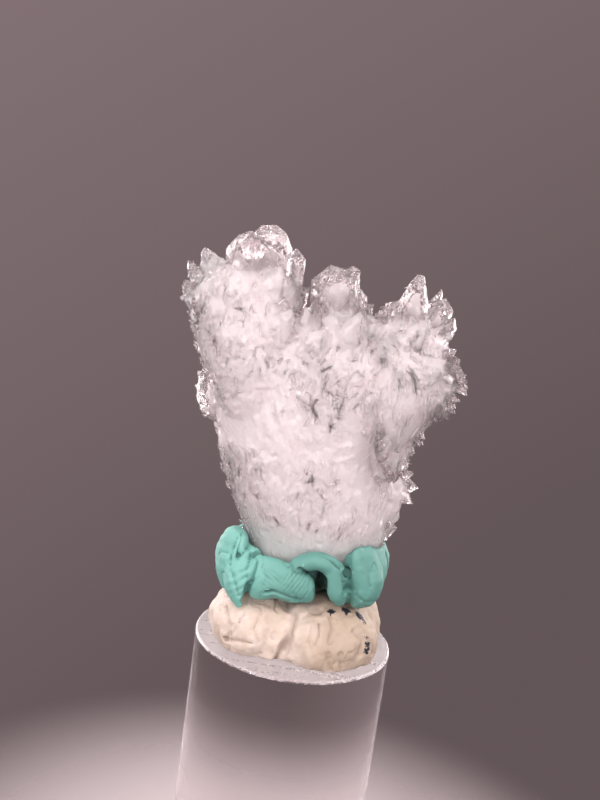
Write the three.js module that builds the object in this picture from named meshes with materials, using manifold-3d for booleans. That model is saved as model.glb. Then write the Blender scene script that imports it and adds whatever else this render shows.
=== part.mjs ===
// A colourless creedite crystal group, held by two wads of mounting putty on a clear acrylic rod.
// Millimetres, +Z up. The origin is the centre of the rod's foot, and -Y faces the viewer.
import * as THREE from "three";
import { mergeVertices } from "three/addons/utils/BufferGeometryUtils.js";
import Module from "manifold-3d";

const wasm = await Module();
wasm.setup();

// Driving dimensions
const ROD_RADIUS = 12.5;
const ROD_HEIGHT = 40;
const ROD_EDGE = 0.3; // the small chamfer on both of the rod's rims
const ROD_SIDES = 64;
const GAP = 0.3; // clearance between the group, the two putties and their neighbours
const MASS_SIDES = 13; // corners in each level of the group's rough body
const MASS_ROUGH = 0.13; // how far those corners stray, as a share of their distance from the middle
const FOLD_SIDES = 8; // corners around a fold of putty
const STEPS_PER_POINT = 1.3; // rings along a fold for each of its path's points
const LUMP_DETAIL = 2; // subdivision of a putty lump's icosahedron
const LUMP_ROUGH = 0.1;
const RIDGE_SLOPE = 1.25; // fall of a crystal's chisel faces for each millimetre of half thickness
const SHOULDER = 0.36; // where the broad faces end, as a share of a crystal's width

// The group's rough body: each level is [height, left, right, front, back], and its crystals point away
// from spread.
const TRUNK = {
  spread: [0.5, 0.5, 48],
  levels: [
    [49.2, -4.6, 6.0, -3.8, 4.2],
    [51.6, -7.0, 8.4, -5.5, 5.4],
    [54.6, -8.3, 9.6, -6.0, 6.0],
    [58.0, -9.9, 9.5, -6.6, 6.8],
    [61.5, -11.5, 9.3, -7.0, 7.4],
    [65.0, -12.9, 9.0, -7.2, 8.0],
    [69.0, -13.9, 9.4, -7.2, 8.6],
    [73.0, -14.0, 10.0, -6.8, 8.4],
    [77.0, -13.0, 9.6, -6.6, 7.6],
    [80.0, -11.0, 8.4, -6.0, 6.2],
    [82.8, -8.4, 5.6, -4.4, 4.4],
  ],
};
const LEFT_ARM = {
  spread: [-9.5, 0, 72],
  levels: [
    [66.0, -11.5, -4.0, -4.5, 4.6],
    [70.0, -13.6, -3.8, -6.0, 6.0],
    [74.5, -15.6, -4.2, -6.9, 6.6],
    [78.5, -17.3, -4.6, -6.9, 6.4],
    [82.0, -18.2, -4.9, -6.5, 5.8],
    [85.6, -17.0, -5.2, -5.2, 4.8],
    [88.2, -13.4, -6.2, -3.4, 3.0],
  ],
};
const MIDDLE_ARM = {
  spread: [0, 0, 62],
  levels: [
    [68.0, -4.6, 3.4, -6.4, 4.4],
    [74.0, -5.0, 4.0, -6.6, 5.0],
    [79.0, -5.2, 4.4, -5.8, 4.8],
    [82.4, -4.8, 3.7, -5.0, 3.8],
    [84.8, -3.4, 2.4, -4.0, 2.4],
  ],
};
const RIGHT_ARM = {
  spread: [7.4, 0, 73],
  levels: [
    [63.6, 6.4, 9.2, -4.6, -1.0],
    [66.4, 4.4, 10.6, -5.6, 3.6],
    [70.0, 3.6, 12.3, -6.4, 5.4],
    [74.0, 3.0, 14.7, -6.8, 6.0],
    [78.0, 3.0, 14.7, -6.4, 5.8],
    [81.2, 3.4, 13.6, -5.6, 4.8],
    [84.0, 4.6, 11.8, -4.0, 3.2],
  ],
};
const LEFT_KNOB = {
  spread: [-11.5, 2, 71],
  levels: [
    [67.2, -14.6, -12.4, 2.0, 4.2],
    [68.8, -16.0, -11.0, 0.8, 5.4],
    [71.2, -16.3, -11.0, 0.6, 5.6],
    [73.4, -15.4, -12.2, 1.8, 4.6],
  ],
};
const RIGHT_KNOB = {
  spread: [8, 1, 59],
  levels: [
    [56.6, 7.2, 9.8, 0.2, 3.6],
    [58.6, 6.4, 11.2, -1.0, 4.8],
    [61.2, 6.4, 11.6, -0.8, 5.0],
    [63.2, 7.4, 10.6, 0.8, 4.0],
  ],
};
const MASSES = [TRUNK, LEFT_ARM, MIDDLE_ARM, RIGHT_ARM, LEFT_KNOB, RIGHT_KNOB];

// Ends of crystals: the edge along the top as [share of the width, drop below the tip in millimetres].
const POINTED = [[-0.5, 2.2], [0.0, 0.0], [0.5, 2.2]];
const FLAT = [[-0.5, 0.5], [0.5, 0.1]];
const SLANTED = [[-0.5, 1.9], [0.32, 0.0], [0.5, 0.5]];
const BLUNT = [[-0.5, 0.7], [-0.1, 0.0], [0.5, 1.1]];
const LOW_SLANT = [[-0.5, 0.8], [0.5, 0.0]];
const CROWN = [[-0.5, 2.2], [-0.2, 0.2], [0.12, 0.0], [0.34, 0.9], [0.5, 2.8]];
const ROUND = [[-0.5, 2.4], [-0.2, 0.7], [0.1, 0.0], [0.5, 0.4]];
const SPIRE = [[-0.5, 2.5], [-0.44, 1.7], [0.35, 0.0], [0.5, 0.6]];
const BACK_SPIRE = [[-0.5, 2.0], [0.05, 0.0], [0.5, 0.5]];
const SPEAR = [[-0.5, 5.0], [-0.16, 1.0], [-0.02, 0.0], [0.18, 0.1], [0.5, 3.4]];

// The large crystals: foot, tip, width across the broad face, thickness, turn of that face in degrees, end.
const LARGE_CRYSTALS = [
  // Left arm, from its right-hand crown to its left edge, then the front and the back
  [[-8.7, 0, 76.5], [-9.5, -0.5, 91.7], 5.6, 2.7, 10, CROWN],
  [[-11.4, -1.5, 77.5], [-12.2, -2.1, 90.8], 4.7, 2.4, -14, ROUND],
  [[-13, -0.5, 77.6], [-16.5, -0.6, 88.6], 3.0, 1.7, 18, BLUNT],
  [[-14, 0, 78.6], [-18.9, 0.4, 86.4], 1.6, 1.1, -10, BLUNT],
  [[-14.2, -1, 77.6], [-18.7, -1.2, 84.4], 2.8, 1.8, 12, BLUNT],
  [[-13.6, 0, 75.6], [-17.9, -0.4, 80.6], 2.4, 1.5, -20, POINTED],
  [[-5.8, -1, 76.8], [-5.9, -1.2, 89.4], 2.2, 1.5, -25, BLUNT],
  [[-5.2, -0.5, 76], [-4.7, -0.4, 85.1], 1.6, 1.1, 15, FLAT],
  [[-11.2, -4.4, 77.5], [-12.2, -5.6, 86.9], 3.6, 2.0, 10, BLUNT],
  [[-8.3, -4.0, 78.5], [-8.7, -5.0, 88.2], 3.6, 2.0, -15, SLANTED],
  [[-13.9, -3.4, 77], [-15.8, -4.2, 85.6], 3.0, 1.6, 8, LOW_SLANT],
  [[-7.3, -4.4, 74.5], [-6.5, -5.8, 83.6], 3.0, 1.6, 18, SLANTED],
  [[-11.4, -4.8, 72.5], [-12.4, -6.9, 80.8], 2.8, 1.6, -12, LOW_SLANT],
  [[-11.4, 2, 77.2], [-14.2, 5.4, 87.2], 3.4, 1.9, 25, SLANTED],
  [[-8.1, 2, 77.7], [-9.4, 4.4, 89.4], 3.9, 2.1, -20, BLUNT],
  [[-7, 2, 72], [-6.6, 8.4, 80.4], 3.0, 1.8, 20, SLANTED],
  // Middle arm: the slanted spire, the thin crystal behind it and small ones on its right
  [[0.3, -2, 74.6], [-1.2, -2.5, 88.2], 5.7, 2.8, 8, SPIRE],
  [[-0.8, 0.6, 75.4], [-2.1, 0.6, 87.8], 4.2, 1.4, -6, BACK_SPIRE],
  [[2.4, -1, 74.8], [2.1, -1, 85.8], 1.9, 1.3, 24, BLUNT],
  [[3.7, 0, 74.8], [3.3, 0, 84.1], 1.1, 0.9, 0, FLAT],
  [[1.1, -4.0, 74], [1.5, -5.6, 84.2], 2.6, 1.6, 12, SLANTED],
  [[-1.8, -4.4, 73], [-2.5, -6.2, 81.8], 2.6, 1.5, -12, LOW_SLANT],
  [[0.2, 1.6, 74.6], [-0.6, 4.6, 86.0], 3.0, 1.7, 15, SLANTED],
  // Right arm: parallel crystals whose tips step up to the right
  [[7.4, -1, 73.6], [8.5, -1.6, 88.4], 4.2, 2.4, 10, SPEAR],
  [[5.8, -0.5, 73.4], [6.5, -0.6, 85.5], 3.4, 2.0, -8, SLANTED],
  [[4.9, 0, 73.2], [4.6, 0, 83.9], 1.8, 1.2, 14, SLANTED],
  [[10.7, 0.5, 75.4], [11.2, 0.6, 86.8], 1.5, 0.9, 0, SLANTED],
  [[10.4, 0, 75], [12.5, -0.1, 85.8], 2.4, 1.6, -16, BLUNT],
  [[10.1, 0, 75.2], [13.9, 0, 83.6], 1.9, 1.2, 20, BLUNT],
  [[7.8, -3.6, 74.5], [9.4, -5.0, 84.6], 3.2, 1.8, 12, SLANTED],
  [[6.2, -3.8, 73.4], [5.5, -5.4, 82.6], 2.6, 1.5, -14, POINTED],
  [[9.4, -4.0, 72.6], [12.0, -5.8, 80.4], 2.8, 1.6, 0, LOW_SLANT],
  [[7.6, 2, 73.4], [8.2, 5.6, 85.2], 3.4, 1.9, -15, SLANTED],
  [[9.4, 2, 73], [13.2, 6.2, 80.2], 2.8, 1.7, 20, LOW_SLANT],
  // Points that hang below the right arm
  [[8.5, -2.6, 72.6], [8.3, -4.4, 62.9], 3.0, 1.9, 12, POINTED],
  [[9.3, -2, 72.6], [10.5, -3, 64.6], 2.4, 1.4, -14, POINTED],
  [[9.3, -1.6, 73.6], [11.7, -2, 67.6], 2.2, 1.4, 10, BLUNT],
  // Knob on the right and the ledge under it
  [[8.6, 2, 60.0], [11.6, 2.5, 63.6], 1.8, 1.2, 0, LOW_SLANT],
  [[8.6, 2, 59.8], [12.8, 2.5, 61.9], 2.0, 1.3, 20, LOW_SLANT],
  [[8.6, 2, 59.6], [12.7, 2.4, 59.9], 1.8, 1.2, -10, LOW_SLANT],
  [[8.0, 1, 58.8], [11.5, 1.4, 58.0], 1.9, 1.2, 12, LOW_SLANT],
  [[7.2, 0.5, 58.6], [10.6, 0.6, 54.6], 2.6, 1.5, 0, LOW_SLANT],
  // Knob on the left
  [[-13.2, 3, 71], [-17.4, 3.4, 70.9], 2.2, 1.4, 10, LOW_SLANT],
  [[-13.2, 3, 70.6], [-17.0, 3.4, 68.9], 2.0, 1.3, -12, LOW_SLANT],
  [[-13.4, 2.8, 70.4], [-15.8, 3.0, 67.2], 2.0, 1.3, 0, LOW_SLANT],
  [[-13.6, 2.8, 71], [-16.7, 3.0, 73.6], 1.8, 1.2, 20, LOW_SLANT],
];

// The fan of the right arm, in a front and a back row: reach at even steps from upper right to lower right.
const FAN = { at: [8.1, -1.6, 76.0], from: 38, to: -52, width: 2.0, thick: 1.3 };
const FAN_ROWS = [
  { depth: -1.6, reach: [7.6, 7.5, 7.7, 8.2, 8.3, 8.2, 8.0, 7.3, 6.8, 7.0] },
  { depth: 1.2, reach: [7.0, 7.4, 7.7, 7.4, 6.4] },
];

// Medium crystals all over the body
const MEDIUM = {
  rise: 4.6,
  apart: 8.0,
  deep: 2.8,
  proud: [0.6, 1.7],
  width: [1.6, 3.0],
  outward: 0.6, // how much they lean outwards, as a share of how much they follow the growth
  stray: 0.9,
};
const BARE_BELOW = 55.8; // no medium crystals under this height, where the putty holds the group

const WHITE_LUMPS = [
  { at: [-5.2, -1.6, 42.2], size: [5.8, 6.8, 4.7] },
  { at: [3.4, -2.9, 41.7], size: [7.2, 6.5, 5.4] },
  { at: [5.5, 2.4, 42.0], size: [5.6, 6.0, 4.9] },
  { at: [-3.0, 3.4, 42.0], size: [6.6, 5.8, 4.8] },
  { at: [-2.2, -4.2, 41.6], size: [4.2, 4.0, 4.0] },
];

// Folds of the teal putty: each point is [x, y, z, half thickness outwards, half breadth along the surface].
const TEAL_FOLDS = [
  // the collar, from the front around the back
  [
    [-6.2, -4.4, 49.9, 1.5, 2.8],
    [-9.0, -1.6, 50.4, 1.8, 3.6],
    [-8.8, 2.6, 50.3, 1.9, 3.5],
    [-5.0, 5.8, 49.9, 2.0, 3.5],
    [0.6, 6.8, 49.9, 2.0, 3.5],
    [6.0, 5.4, 50.3, 2.0, 3.8],
    [8.7, 1.6, 50.7, 1.9, 3.9],
    [7.9, -2.6, 50.8, 1.9, 3.8],
    [4.9, -5.3, 50.8, 1.3, 3.3],
  ],
  // the left horn
  [
    [-8.6, -3.6, 47.0, 0.9, 1.2],
    [-9.0, -3.4, 49.4, 1.7, 2.6],
    [-8.9, -3.3, 52.0, 1.7, 2.4],
    [-8.7, -3.2, 53.8, 1.4, 2.0],
    [-8.6, -3.1, 54.6, 0.7, 1.1],
  ],
  // the pointed fold under it
  [
    [-7.5, -4.6, 52.6, 0.7, 0.9],
    [-8.0, -5.3, 50.4, 1.4, 2.0],
    [-7.9, -5.9, 48.4, 1.4, 1.9],
    [-7.4, -6.4, 46.8, 0.9, 1.1],
    [-7.2, -6.6, 45.7, 0.25, 0.3],
  ],
  // the middle fold
  [
    [-6.5, -5.2, 49.6, 0.8, 2.0],
    [-5.4, -6.0, 49.7, 1.5, 2.8],
    [-3.2, -6.4, 50.0, 1.6, 2.6],
    [-0.9, -6.5, 49.5, 1.6, 2.3],
    [0.9, -6.4, 49.2, 1.3, 1.8],
    [1.8, -6.0, 49.1, 0.5, 0.9],
  ],
  // the rolled lip, an arch whose right end hangs down as a tongue
  [
    [-1.5, -6.4, 51.0, 0.6, 0.6],
    [-0.8, -6.8, 52.3, 1.1, 1.0],
    [0.5, -7.0, 53.0, 1.2, 1.1],
    [2.0, -7.0, 53.2, 1.2, 1.1],
    [3.4, -6.9, 52.5, 1.2, 1.4],
    [4.0, -6.9, 50.9, 1.2, 1.6],
    [4.6, -6.8, 49.3, 1.1, 1.4],
    [5.0, -6.6, 47.9, 0.5, 0.6],
  ],
  // the right bulge
  [
    [6.9, -5.0, 47.2, 0.6, 0.9],
    [7.6, -4.8, 48.6, 1.6, 2.2],
    [7.9, -4.5, 50.4, 1.9, 2.5],
    [7.3, -4.5, 52.4, 1.6, 2.6],
    [7.0, -4.3, 54.0, 1.1, 2.5],
    [7.0, -4.2, 54.8, 0.4, 1.5],
  ],
];
const TEAL_PAD = { at: [0.2, 0.4, 49.3], size: [7.6, 6.0, 1.75] };

// A repeatable stream of numbers from 0 to 1 (mulberry32).
function randomStream(seed) {
  let state = seed;
  return () => {
    state = (state + 0x6d2b79f5) | 0;
    let t = Math.imul(state ^ (state >>> 15), 1 | state);
    t = (t + Math.imul(t ^ (t >>> 7), 61 | t)) ^ t;
    return ((t ^ (t >>> 14)) >>> 0) / 4294967296;
  };
}

const vector = (list) => new THREE.Vector3(...list);
const radians = THREE.MathUtils.degToRad;
const between = ([least, most], share) => THREE.MathUtils.lerp(least, most, share);

// A closed three.js geometry as a solid that can be joined and cut.
function toSolid(geometry) {
  const vertProperties = new Float32Array(geometry.getAttribute("position").array);
  const triVerts = new Uint32Array(geometry.index.array);
  return new wasm.Manifold(new wasm.Mesh({ numProp: 3, vertProperties, triVerts }));
}

function toGeometry(solid) {
  const { vertProperties, triVerts } = solid.getMesh();
  return new THREE.BufferGeometry()
    .setAttribute("position", new THREE.BufferAttribute(new Float32Array(vertProperties), 3))
    .setIndex(new THREE.BufferAttribute(new Uint32Array(triVerts), 1));
}

function indexed(points, faces) {
  return new THREE.BufferGeometry()
    .setAttribute("position", new THREE.Float32BufferAttribute(points.flat(), 3))
    .setIndex(faces.flat());
}

const joined = (solids) => solids.reduce((whole, solid) => whole.add(solid));

// A closed body over rings with equally many corners, its first and last ring filled.
function loft(rings) {
  const sides = rings[0].length;
  const points = rings.flat().map((point) => point.toArray());
  const middle = (ring) => {
    const sum = ring.reduce((total, point) => total.add(point), new THREE.Vector3());
    return sum.divideScalar(sides).toArray();
  };
  const first = points.push(middle(rings[0])) - 1;
  const last = points.push(middle(rings[rings.length - 1])) - 1;
  const faces = [];
  rings.forEach((_, level) => {
    for (let i = 0; i < sides; i++) {
      const a = level * sides + i;
      const b = level * sides + ((i + 1) % sides);
      if (level === 0) faces.push([first, b, a]);
      if (level === rings.length - 1) {
        faces.push([last, a, b]);
      } else if (level % 2) {
        faces.push([a, b, b + sides], [a, b + sides, a + sides]);
      } else {
        faces.push([a, b, a + sides], [b, b + sides, a + sides]);
      }
    }
  });
  return toSolid(indexed(points, faces));
}

function levelEllipse([, left, right, front, back]) {
  return { x: (left + right) / 2, y: (front + back) / 2, a: (right - left) / 2, b: (back - front) / 2 };
}

// One part of the group's rough body, its corners astray so that its faces look broken and flat.
function massSolid(mass, grow = 0) {
  const random = randomStream(Math.round(mass.levels[0][0] * 10));
  const rings = mass.levels.map((level, index) => {
    const { x, y, a, b } = levelEllipse(level);
    return Array.from({ length: MASS_SIDES }, (_, i) => {
      const angle = (2 * Math.PI * (i + (index % 2) / 2)) / MASS_SIDES;
      const reach = 1 + MASS_ROUGH * (random() - 0.5);
      const height = level[0] + 0.9 * (random() - 0.5);
      return new THREE.Vector3(
        x + Math.cos(angle) * (a * reach + grow),
        y + Math.sin(angle) * (b * reach + grow),
        height + (index === 0 ? -grow : 0),
      );
    });
  });
  return loft(rings);
}

// A soft fold of putty along a smooth path; grow widens it all around.
function foldSolid(path, grow = 0) {
  const line = new THREE.CatmullRomCurve3(path.map(([x, y, z]) => new THREE.Vector3(x, y, z)));
  const sizes = new THREE.CatmullRomCurve3(path.map(([, , , depth, breadth]) => vector([depth, breadth, 0])));
  const steps = Math.round(STEPS_PER_POINT * (path.length - 1));
  const rings = Array.from({ length: steps + 1 }, (_, step) => {
    const share = step / steps;
    const centre = line.getPoint(share);
    const along = line.getTangent(share);
    if (step === 0) centre.addScaledVector(along, -grow);
    if (step === steps) centre.addScaledVector(along, grow);
    const outward = new THREE.Vector3(centre.x, centre.y, 0).projectOnPlane(along).normalize();
    const sideways = new THREE.Vector3().crossVectors(along, outward);
    const { x: depth, y: breadth } = sizes.getPoint(share);
    return Array.from({ length: FOLD_SIDES }, (_, i) => {
      const angle = (2 * Math.PI * (i + (step % 2) / 2)) / FOLD_SIDES;
      return centre
        .clone()
        .addScaledVector(outward, Math.cos(angle) * (depth + grow))
        .addScaledVector(sideways, Math.sin(angle) * (breadth + grow));
    });
  });
  return loft(rings);
}

// An uneven rounded lump of putty.
function lumpSolid({ at, size }, grow = 0) {
  const random = randomStream(Math.round(at[0] * 100 + at[2] * 1000));
  const ball = new THREE.IcosahedronGeometry(1, LUMP_DETAIL);
  ball.deleteAttribute("normal");
  ball.deleteAttribute("uv");
  const merged = mergeVertices(ball, 1e-4);
  const position = merged.getAttribute("position");
  const corner = new THREE.Vector3();
  for (let i = 0; i < position.count; i++) {
    corner.fromBufferAttribute(position, i).multiplyScalar(1 + LUMP_ROUGH * (random() - 0.5));
    position.setXYZ(i, corner.x, corner.y, corner.z);
  }
  const scale = vector(size).addScalar(grow);
  return toSolid(merged.scale(scale.x, scale.y, scale.z).translate(...at));
}

// How far a crystal's end edge lies below its tip, at a share of its width.
function dropAt(ridge, across) {
  for (let i = 1; i < ridge.length; i++) {
    const [a, dropA] = ridge[i - 1];
    const [b, dropB] = ridge[i];
    if (across <= b) return dropA + ((dropB - dropA) * (across - a)) / (b - a);
  }
  return ridge[ridge.length - 1][1];
}

// One flattened six-sided crystal with a chisel end, in place.
function crystalSolid([foot, tip, width, thick, turn, ridge]) {
  const base = vector(foot);
  const axis = vector(tip).sub(base);
  const length = axis.length();
  axis.normalize();
  const half = thick / 2;
  const top = (across, through) => {
    const height = length - dropAt(ridge, across) - RIDGE_SLOPE * Math.abs(through);
    return [across * width, through, height];
  };
  const near = [[-SHOULDER, -half], [SHOULDER, -half]];
  const far = [[SHOULDER, half], [-SHOULDER, half]];
  const corners = [[-0.5, 0], ...near, [0.5, 0], ...far];
  const inner = ridge.map(([across]) => across).filter((across) => Math.abs(across) < SHOULDER);
  const points = corners.map(([across, through]) => [across * width, through, 0]);
  points.push(...corners.map((corner) => top(...corner)));
  const row = (start, through, end) => {
    const middles = inner.map((across) => points.push(top(across, through)) - 1);
    return [start, ...middles, end];
  };
  const nearRow = row(7, -half, 8);
  const edgeRow = row(6, 0, 9);
  const farRow = row(11, half, 10);
  const faces = [[1, 2, 8], [4, 5, 11]];
  for (let k = 0; k <= inner.length; k++) {
    faces.push([edgeRow[k], nearRow[k], edgeRow[k + 1]], [nearRow[k], nearRow[k + 1], edgeRow[k + 1]]);
    faces.push([edgeRow[k], edgeRow[k + 1], farRow[k]], [farRow[k], edgeRow[k + 1], farRow[k + 1]]);
    faces.push([1, nearRow[k + 1], nearRow[k]], [4, farRow[k], farRow[k + 1]]);
  }
  for (const i of [0, 2, 3, 5]) {
    const next = (i + 1) % 6;
    faces.push([i, next, next + 6], [i, next + 6, i + 6]);
  }
  for (let i = 1; i < 5; i++) faces.push([0, i + 1, i]);
  const toViewer = Math.abs(axis.y) > 0.9 ? new THREE.Vector3(0, 0, 1) : new THREE.Vector3(0, -1, 0);
  const normal = toViewer.projectOnPlane(axis).normalize().applyAxisAngle(axis, radians(turn));
  const sideways = new THREE.Vector3().crossVectors(axis, normal);
  const place = new THREE.Matrix4().makeBasis(sideways, normal.negate(), axis).setPosition(base);
  return toSolid(indexed(points, faces).applyMatrix4(place));
}

function fanCrystals() {
  const centre = vector(FAN.at);
  return FAN_ROWS.flatMap(({ depth, reach }) =>
    reach.map((length, i) => {
      const angle = radians(between([FAN.from, FAN.to], i / (reach.length - 1)));
      const out = new THREE.Vector3(Math.cos(angle), 0, Math.sin(angle)).multiplyScalar(length);
      const tip = centre.clone().add(out).setY(FAN.at[1] + depth);
      return [FAN.at, tip.toArray(), FAN.width, FAN.thick, 14 * (i % 3) - 14, i % 2 ? LOW_SLANT : FLAT];
    }),
  );
}

// The body's ellipse at a height, or null above and below it.
function sliceAt(mass, height) {
  const { levels } = mass;
  const upper = levels.findIndex(([z]) => z > height);
  if (upper < 1) return null;
  const share = (height - levels[upper - 1][0]) / (levels[upper][0] - levels[upper - 1][0]);
  return levelEllipse(levels[upper].map((value, i) => between([levels[upper - 1][i], value], share)));
}

function isInside(mass, point) {
  const slice = sliceAt(mass, point.z);
  return slice !== null && Math.hypot((point.x - slice.x) / slice.a, (point.y - slice.y) / slice.b) < 0.97;
}

// Heights for the medium crystals, each with its share of the body's breadth: the flanks, then the crown.
function mediumRows({ levels }) {
  const bottom = levels[0][0] + 1;
  const top = levels[levels.length - 1][0];
  const flanks = Array.from({ length: Math.ceil((top - bottom) / MEDIUM.rise) }, (_, i) => [
    bottom + i * MEDIUM.rise,
    1,
  ]);
  return [...flanks, [top - 0.1, 0.5]];
}

// Medium crystals: they start inside the body and stand proud of it, leaning the way it grew.
function mediumCrystals() {
  const random = randomStream(20);
  const made = [];
  for (const mass of MASSES) {
    const others = MASSES.filter((other) => other !== mass);
    for (const [z, inset] of mediumRows(mass)) {
      const { x, y, a, b } = sliceAt(mass, z);
      const count = Math.max(3, Math.round((Math.PI * (a + b) * inset) / MEDIUM.apart));
      const start = random();
      for (let i = 0; i < count; i++) {
        const angle = (2 * Math.PI * (i + start + 0.4 * random())) / count;
        const height = z + 1.6 * (random() - 0.5);
        const reach = new THREE.Vector3(a * Math.cos(angle), b * Math.sin(angle), 0);
        const skin = new THREE.Vector3(x, y, height).addScaledVector(reach, inset);
        const outward = new THREE.Vector3(reach.x / (a * a), reach.y / (b * b), 0).normalize();
        const growth = skin.clone().sub(vector(mass.spread)).normalize();
        const stray = new THREE.Vector3(random() - 0.5, random() - 0.5, random() - 0.5);
        const lean = growth.addScaledVector(outward, MEDIUM.outward);
        const axis = lean.addScaledVector(stray, MEDIUM.stray).normalize();
        const width = between(MEDIUM.width, random());
        const foot = skin.clone().addScaledVector(axis, -MEDIUM.deep);
        const tip = skin.clone().addScaledVector(axis, between(MEDIUM.proud, random()));
        const turn = 180 * random();
        const hidden = others.some((other) => isInside(other, skin));
        const rooted = MASSES.some((other) => isInside(other, foot));
        if (height > BARE_BELOW && rooted && !hidden) {
          made.push([foot.toArray(), tip.toArray(), width, width / 2, turn, i % 2 ? LOW_SLANT : FLAT]);
        }
      }
    }
  }
  return made;
}

function rodGeometry() {
  const inner = ROD_RADIUS - ROD_EDGE;
  const profile = [
    [0, 0],
    [inner, 0],
    [ROD_RADIUS, ROD_EDGE],
    [ROD_RADIUS, ROD_HEIGHT - ROD_EDGE],
    [inner, ROD_HEIGHT],
    [0, ROD_HEIGHT],
  ].map(([x, y]) => new THREE.Vector2(x, y));
  return new THREE.LatheGeometry(profile, ROD_SIDES).rotateX(Math.PI / 2);
}

// The putties and the group, each cut so that it keeps its gap to the next.
function build() {
  const underTop = new THREE.BoxGeometry(60, 60, ROD_HEIGHT).translate(0, 0, ROD_HEIGHT / 2);
  underTop.deleteAttribute("normal");
  underTop.deleteAttribute("uv");
  const putty = (grow) => [lumpSolid(TEAL_PAD, grow), ...TEAL_FOLDS.map((path) => foldSolid(path, grow))];
  const white = joined(WHITE_LUMPS.map((lump) => lumpSolid(lump))).subtract(toSolid(mergeVertices(underTop)));
  const whiteRoom = joined(WHITE_LUMPS.map((lump) => lumpSolid(lump, GAP)));
  const socket = massSolid(TRUNK, GAP);
  const teal = joined(putty(0)).subtract(whiteRoom).subtract(socket);
  const trunk = massSolid(TRUNK);
  const rest = [...LARGE_CRYSTALS, ...fanCrystals(), ...mediumCrystals()].map(crystalSolid);
  const arms = MASSES.slice(1).map((mass) => massSolid(mass));
  const group = joined([...arms, ...rest]).subtract(joined(putty(GAP))).add(trunk);
  return { white, teal, group };
}

function meshOf(name, geometry, look) {
  const made = new THREE.Mesh(geometry, new THREE.MeshStandardMaterial(look));
  made.name = name;
  return made;
}

const { white, teal, group } = build();
const specimen = new THREE.Group();
specimen.add(
  meshOf("acrylic_rod", rodGeometry(), { color: 0xe8e4e4, roughness: 0.05, metalness: 0 }),
  meshOf("white_putty", toGeometry(white), { color: 0xe9ddcf, roughness: 0.75, metalness: 0 }),
  meshOf("teal_putty", toGeometry(teal), { color: 0x82c6b8, roughness: 0.7, metalness: 0 }),
  meshOf("creedite_crystals", toGeometry(group), { color: 0xe9dadb, roughness: 0.15, metalness: 0 }),
);

export default specimen;
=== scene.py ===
"""Looks for the creedite crystal group on its putty-topped clear acrylic rod.

Lengths in the tables are millimetres.
"""
import math

import bpy
import numpy as np
from mathutils import Matrix, Vector

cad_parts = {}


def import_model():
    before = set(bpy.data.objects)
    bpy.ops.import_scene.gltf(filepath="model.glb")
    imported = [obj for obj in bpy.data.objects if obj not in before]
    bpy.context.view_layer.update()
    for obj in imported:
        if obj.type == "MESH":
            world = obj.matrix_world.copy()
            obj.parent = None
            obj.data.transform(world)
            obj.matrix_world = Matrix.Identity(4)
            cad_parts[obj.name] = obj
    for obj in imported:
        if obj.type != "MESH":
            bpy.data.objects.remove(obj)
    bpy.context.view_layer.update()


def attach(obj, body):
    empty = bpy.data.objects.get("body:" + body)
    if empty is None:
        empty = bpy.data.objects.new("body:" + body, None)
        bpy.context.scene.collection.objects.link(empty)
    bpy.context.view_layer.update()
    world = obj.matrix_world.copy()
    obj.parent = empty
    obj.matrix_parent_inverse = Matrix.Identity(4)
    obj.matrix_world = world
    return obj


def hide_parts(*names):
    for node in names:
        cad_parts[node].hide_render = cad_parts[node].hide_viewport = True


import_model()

MM = 0.001
HAIR = 0.02  # keeps two faces from lying in one plane
TURN = 2 * math.pi
ROD_RADIUS, ROD_HEIGHT = 12.5, 40
rng = np.random.default_rng(11)

# The group's rough body: each mass has the point that its crystals spread from, and levels
# of (height, left, right, front, back).
MASSES = {
    "trunk": ((0.5, 0.5, 48), [
        (49.2, -4.6, 6, -3.8, 4.2), (51.6, -7, 8.4, -5.5, 5.4), (54.6, -8.3, 9.6, -6, 6),
        (58, -9.9, 9.5, -6.6, 6.8), (61.5, -11.5, 9.3, -7, 7.4), (65, -12.9, 9, -7.2, 8),
        (69, -13.9, 9.4, -7.2, 8.6), (73, -14, 10, -6.8, 8.4), (77, -13, 9.6, -6.6, 7.6),
        (80, -11, 8.4, -6, 6.2), (82.8, -8.4, 5.6, -4.4, 4.4)]),
    "left_arm": ((-9.5, 0, 72), [
        (66, -11.5, -4, -4.5, 4.6), (70, -13.6, -3.8, -6, 6), (74.5, -15.6, -4.2, -6.9, 6.6),
        (78.5, -17.3, -4.6, -6.9, 6.4), (82, -18.2, -4.9, -6.5, 5.8), (85.6, -17, -5.2, -5.2, 4.8),
        (88.2, -13.4, -6.2, -3.4, 3)]),
    "middle_arm": ((0, 0, 62), [
        (68, -4.6, 3.4, -6.4, 4.4), (74, -5, 4, -6.6, 5), (79, -5.2, 4.4, -5.8, 4.8),
        (82.4, -4.8, 3.7, -5, 3.8), (84.8, -3.4, 2.4, -4, 2.4)]),
    "right_arm": ((7.4, 0, 73), [
        (63.6, 6.4, 9.2, -4.6, -1), (66.4, 4.4, 10.6, -5.6, 3.6), (70, 3.6, 12.3, -6.4, 5.4),
        (74, 3, 14.7, -6.8, 6), (78, 3, 14.7, -6.4, 5.8), (81.2, 3.4, 13.6, -5.6, 4.8),
        (84, 4.6, 11.8, -4, 3.2)]),
    "left_knob": ((-11.5, 2, 71), [
        (67.2, -14.6, -12.4, 2, 4.2), (68.8, -16, -11, 0.8, 5.4), (71.2, -16.3, -11, 0.6, 5.6),
        (73.4, -15.4, -12.2, 1.8, 4.6)]),
    "right_knob": ((8, 1, 59), [
        (56.6, 7.2, 9.8, 0.2, 3.6), (58.6, 6.4, 11.2, -1, 4.8), (61.2, 6.4, 11.6, -0.8, 5),
        (63.2, 7.4, 10.6, 0.8, 4)]),
}

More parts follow.
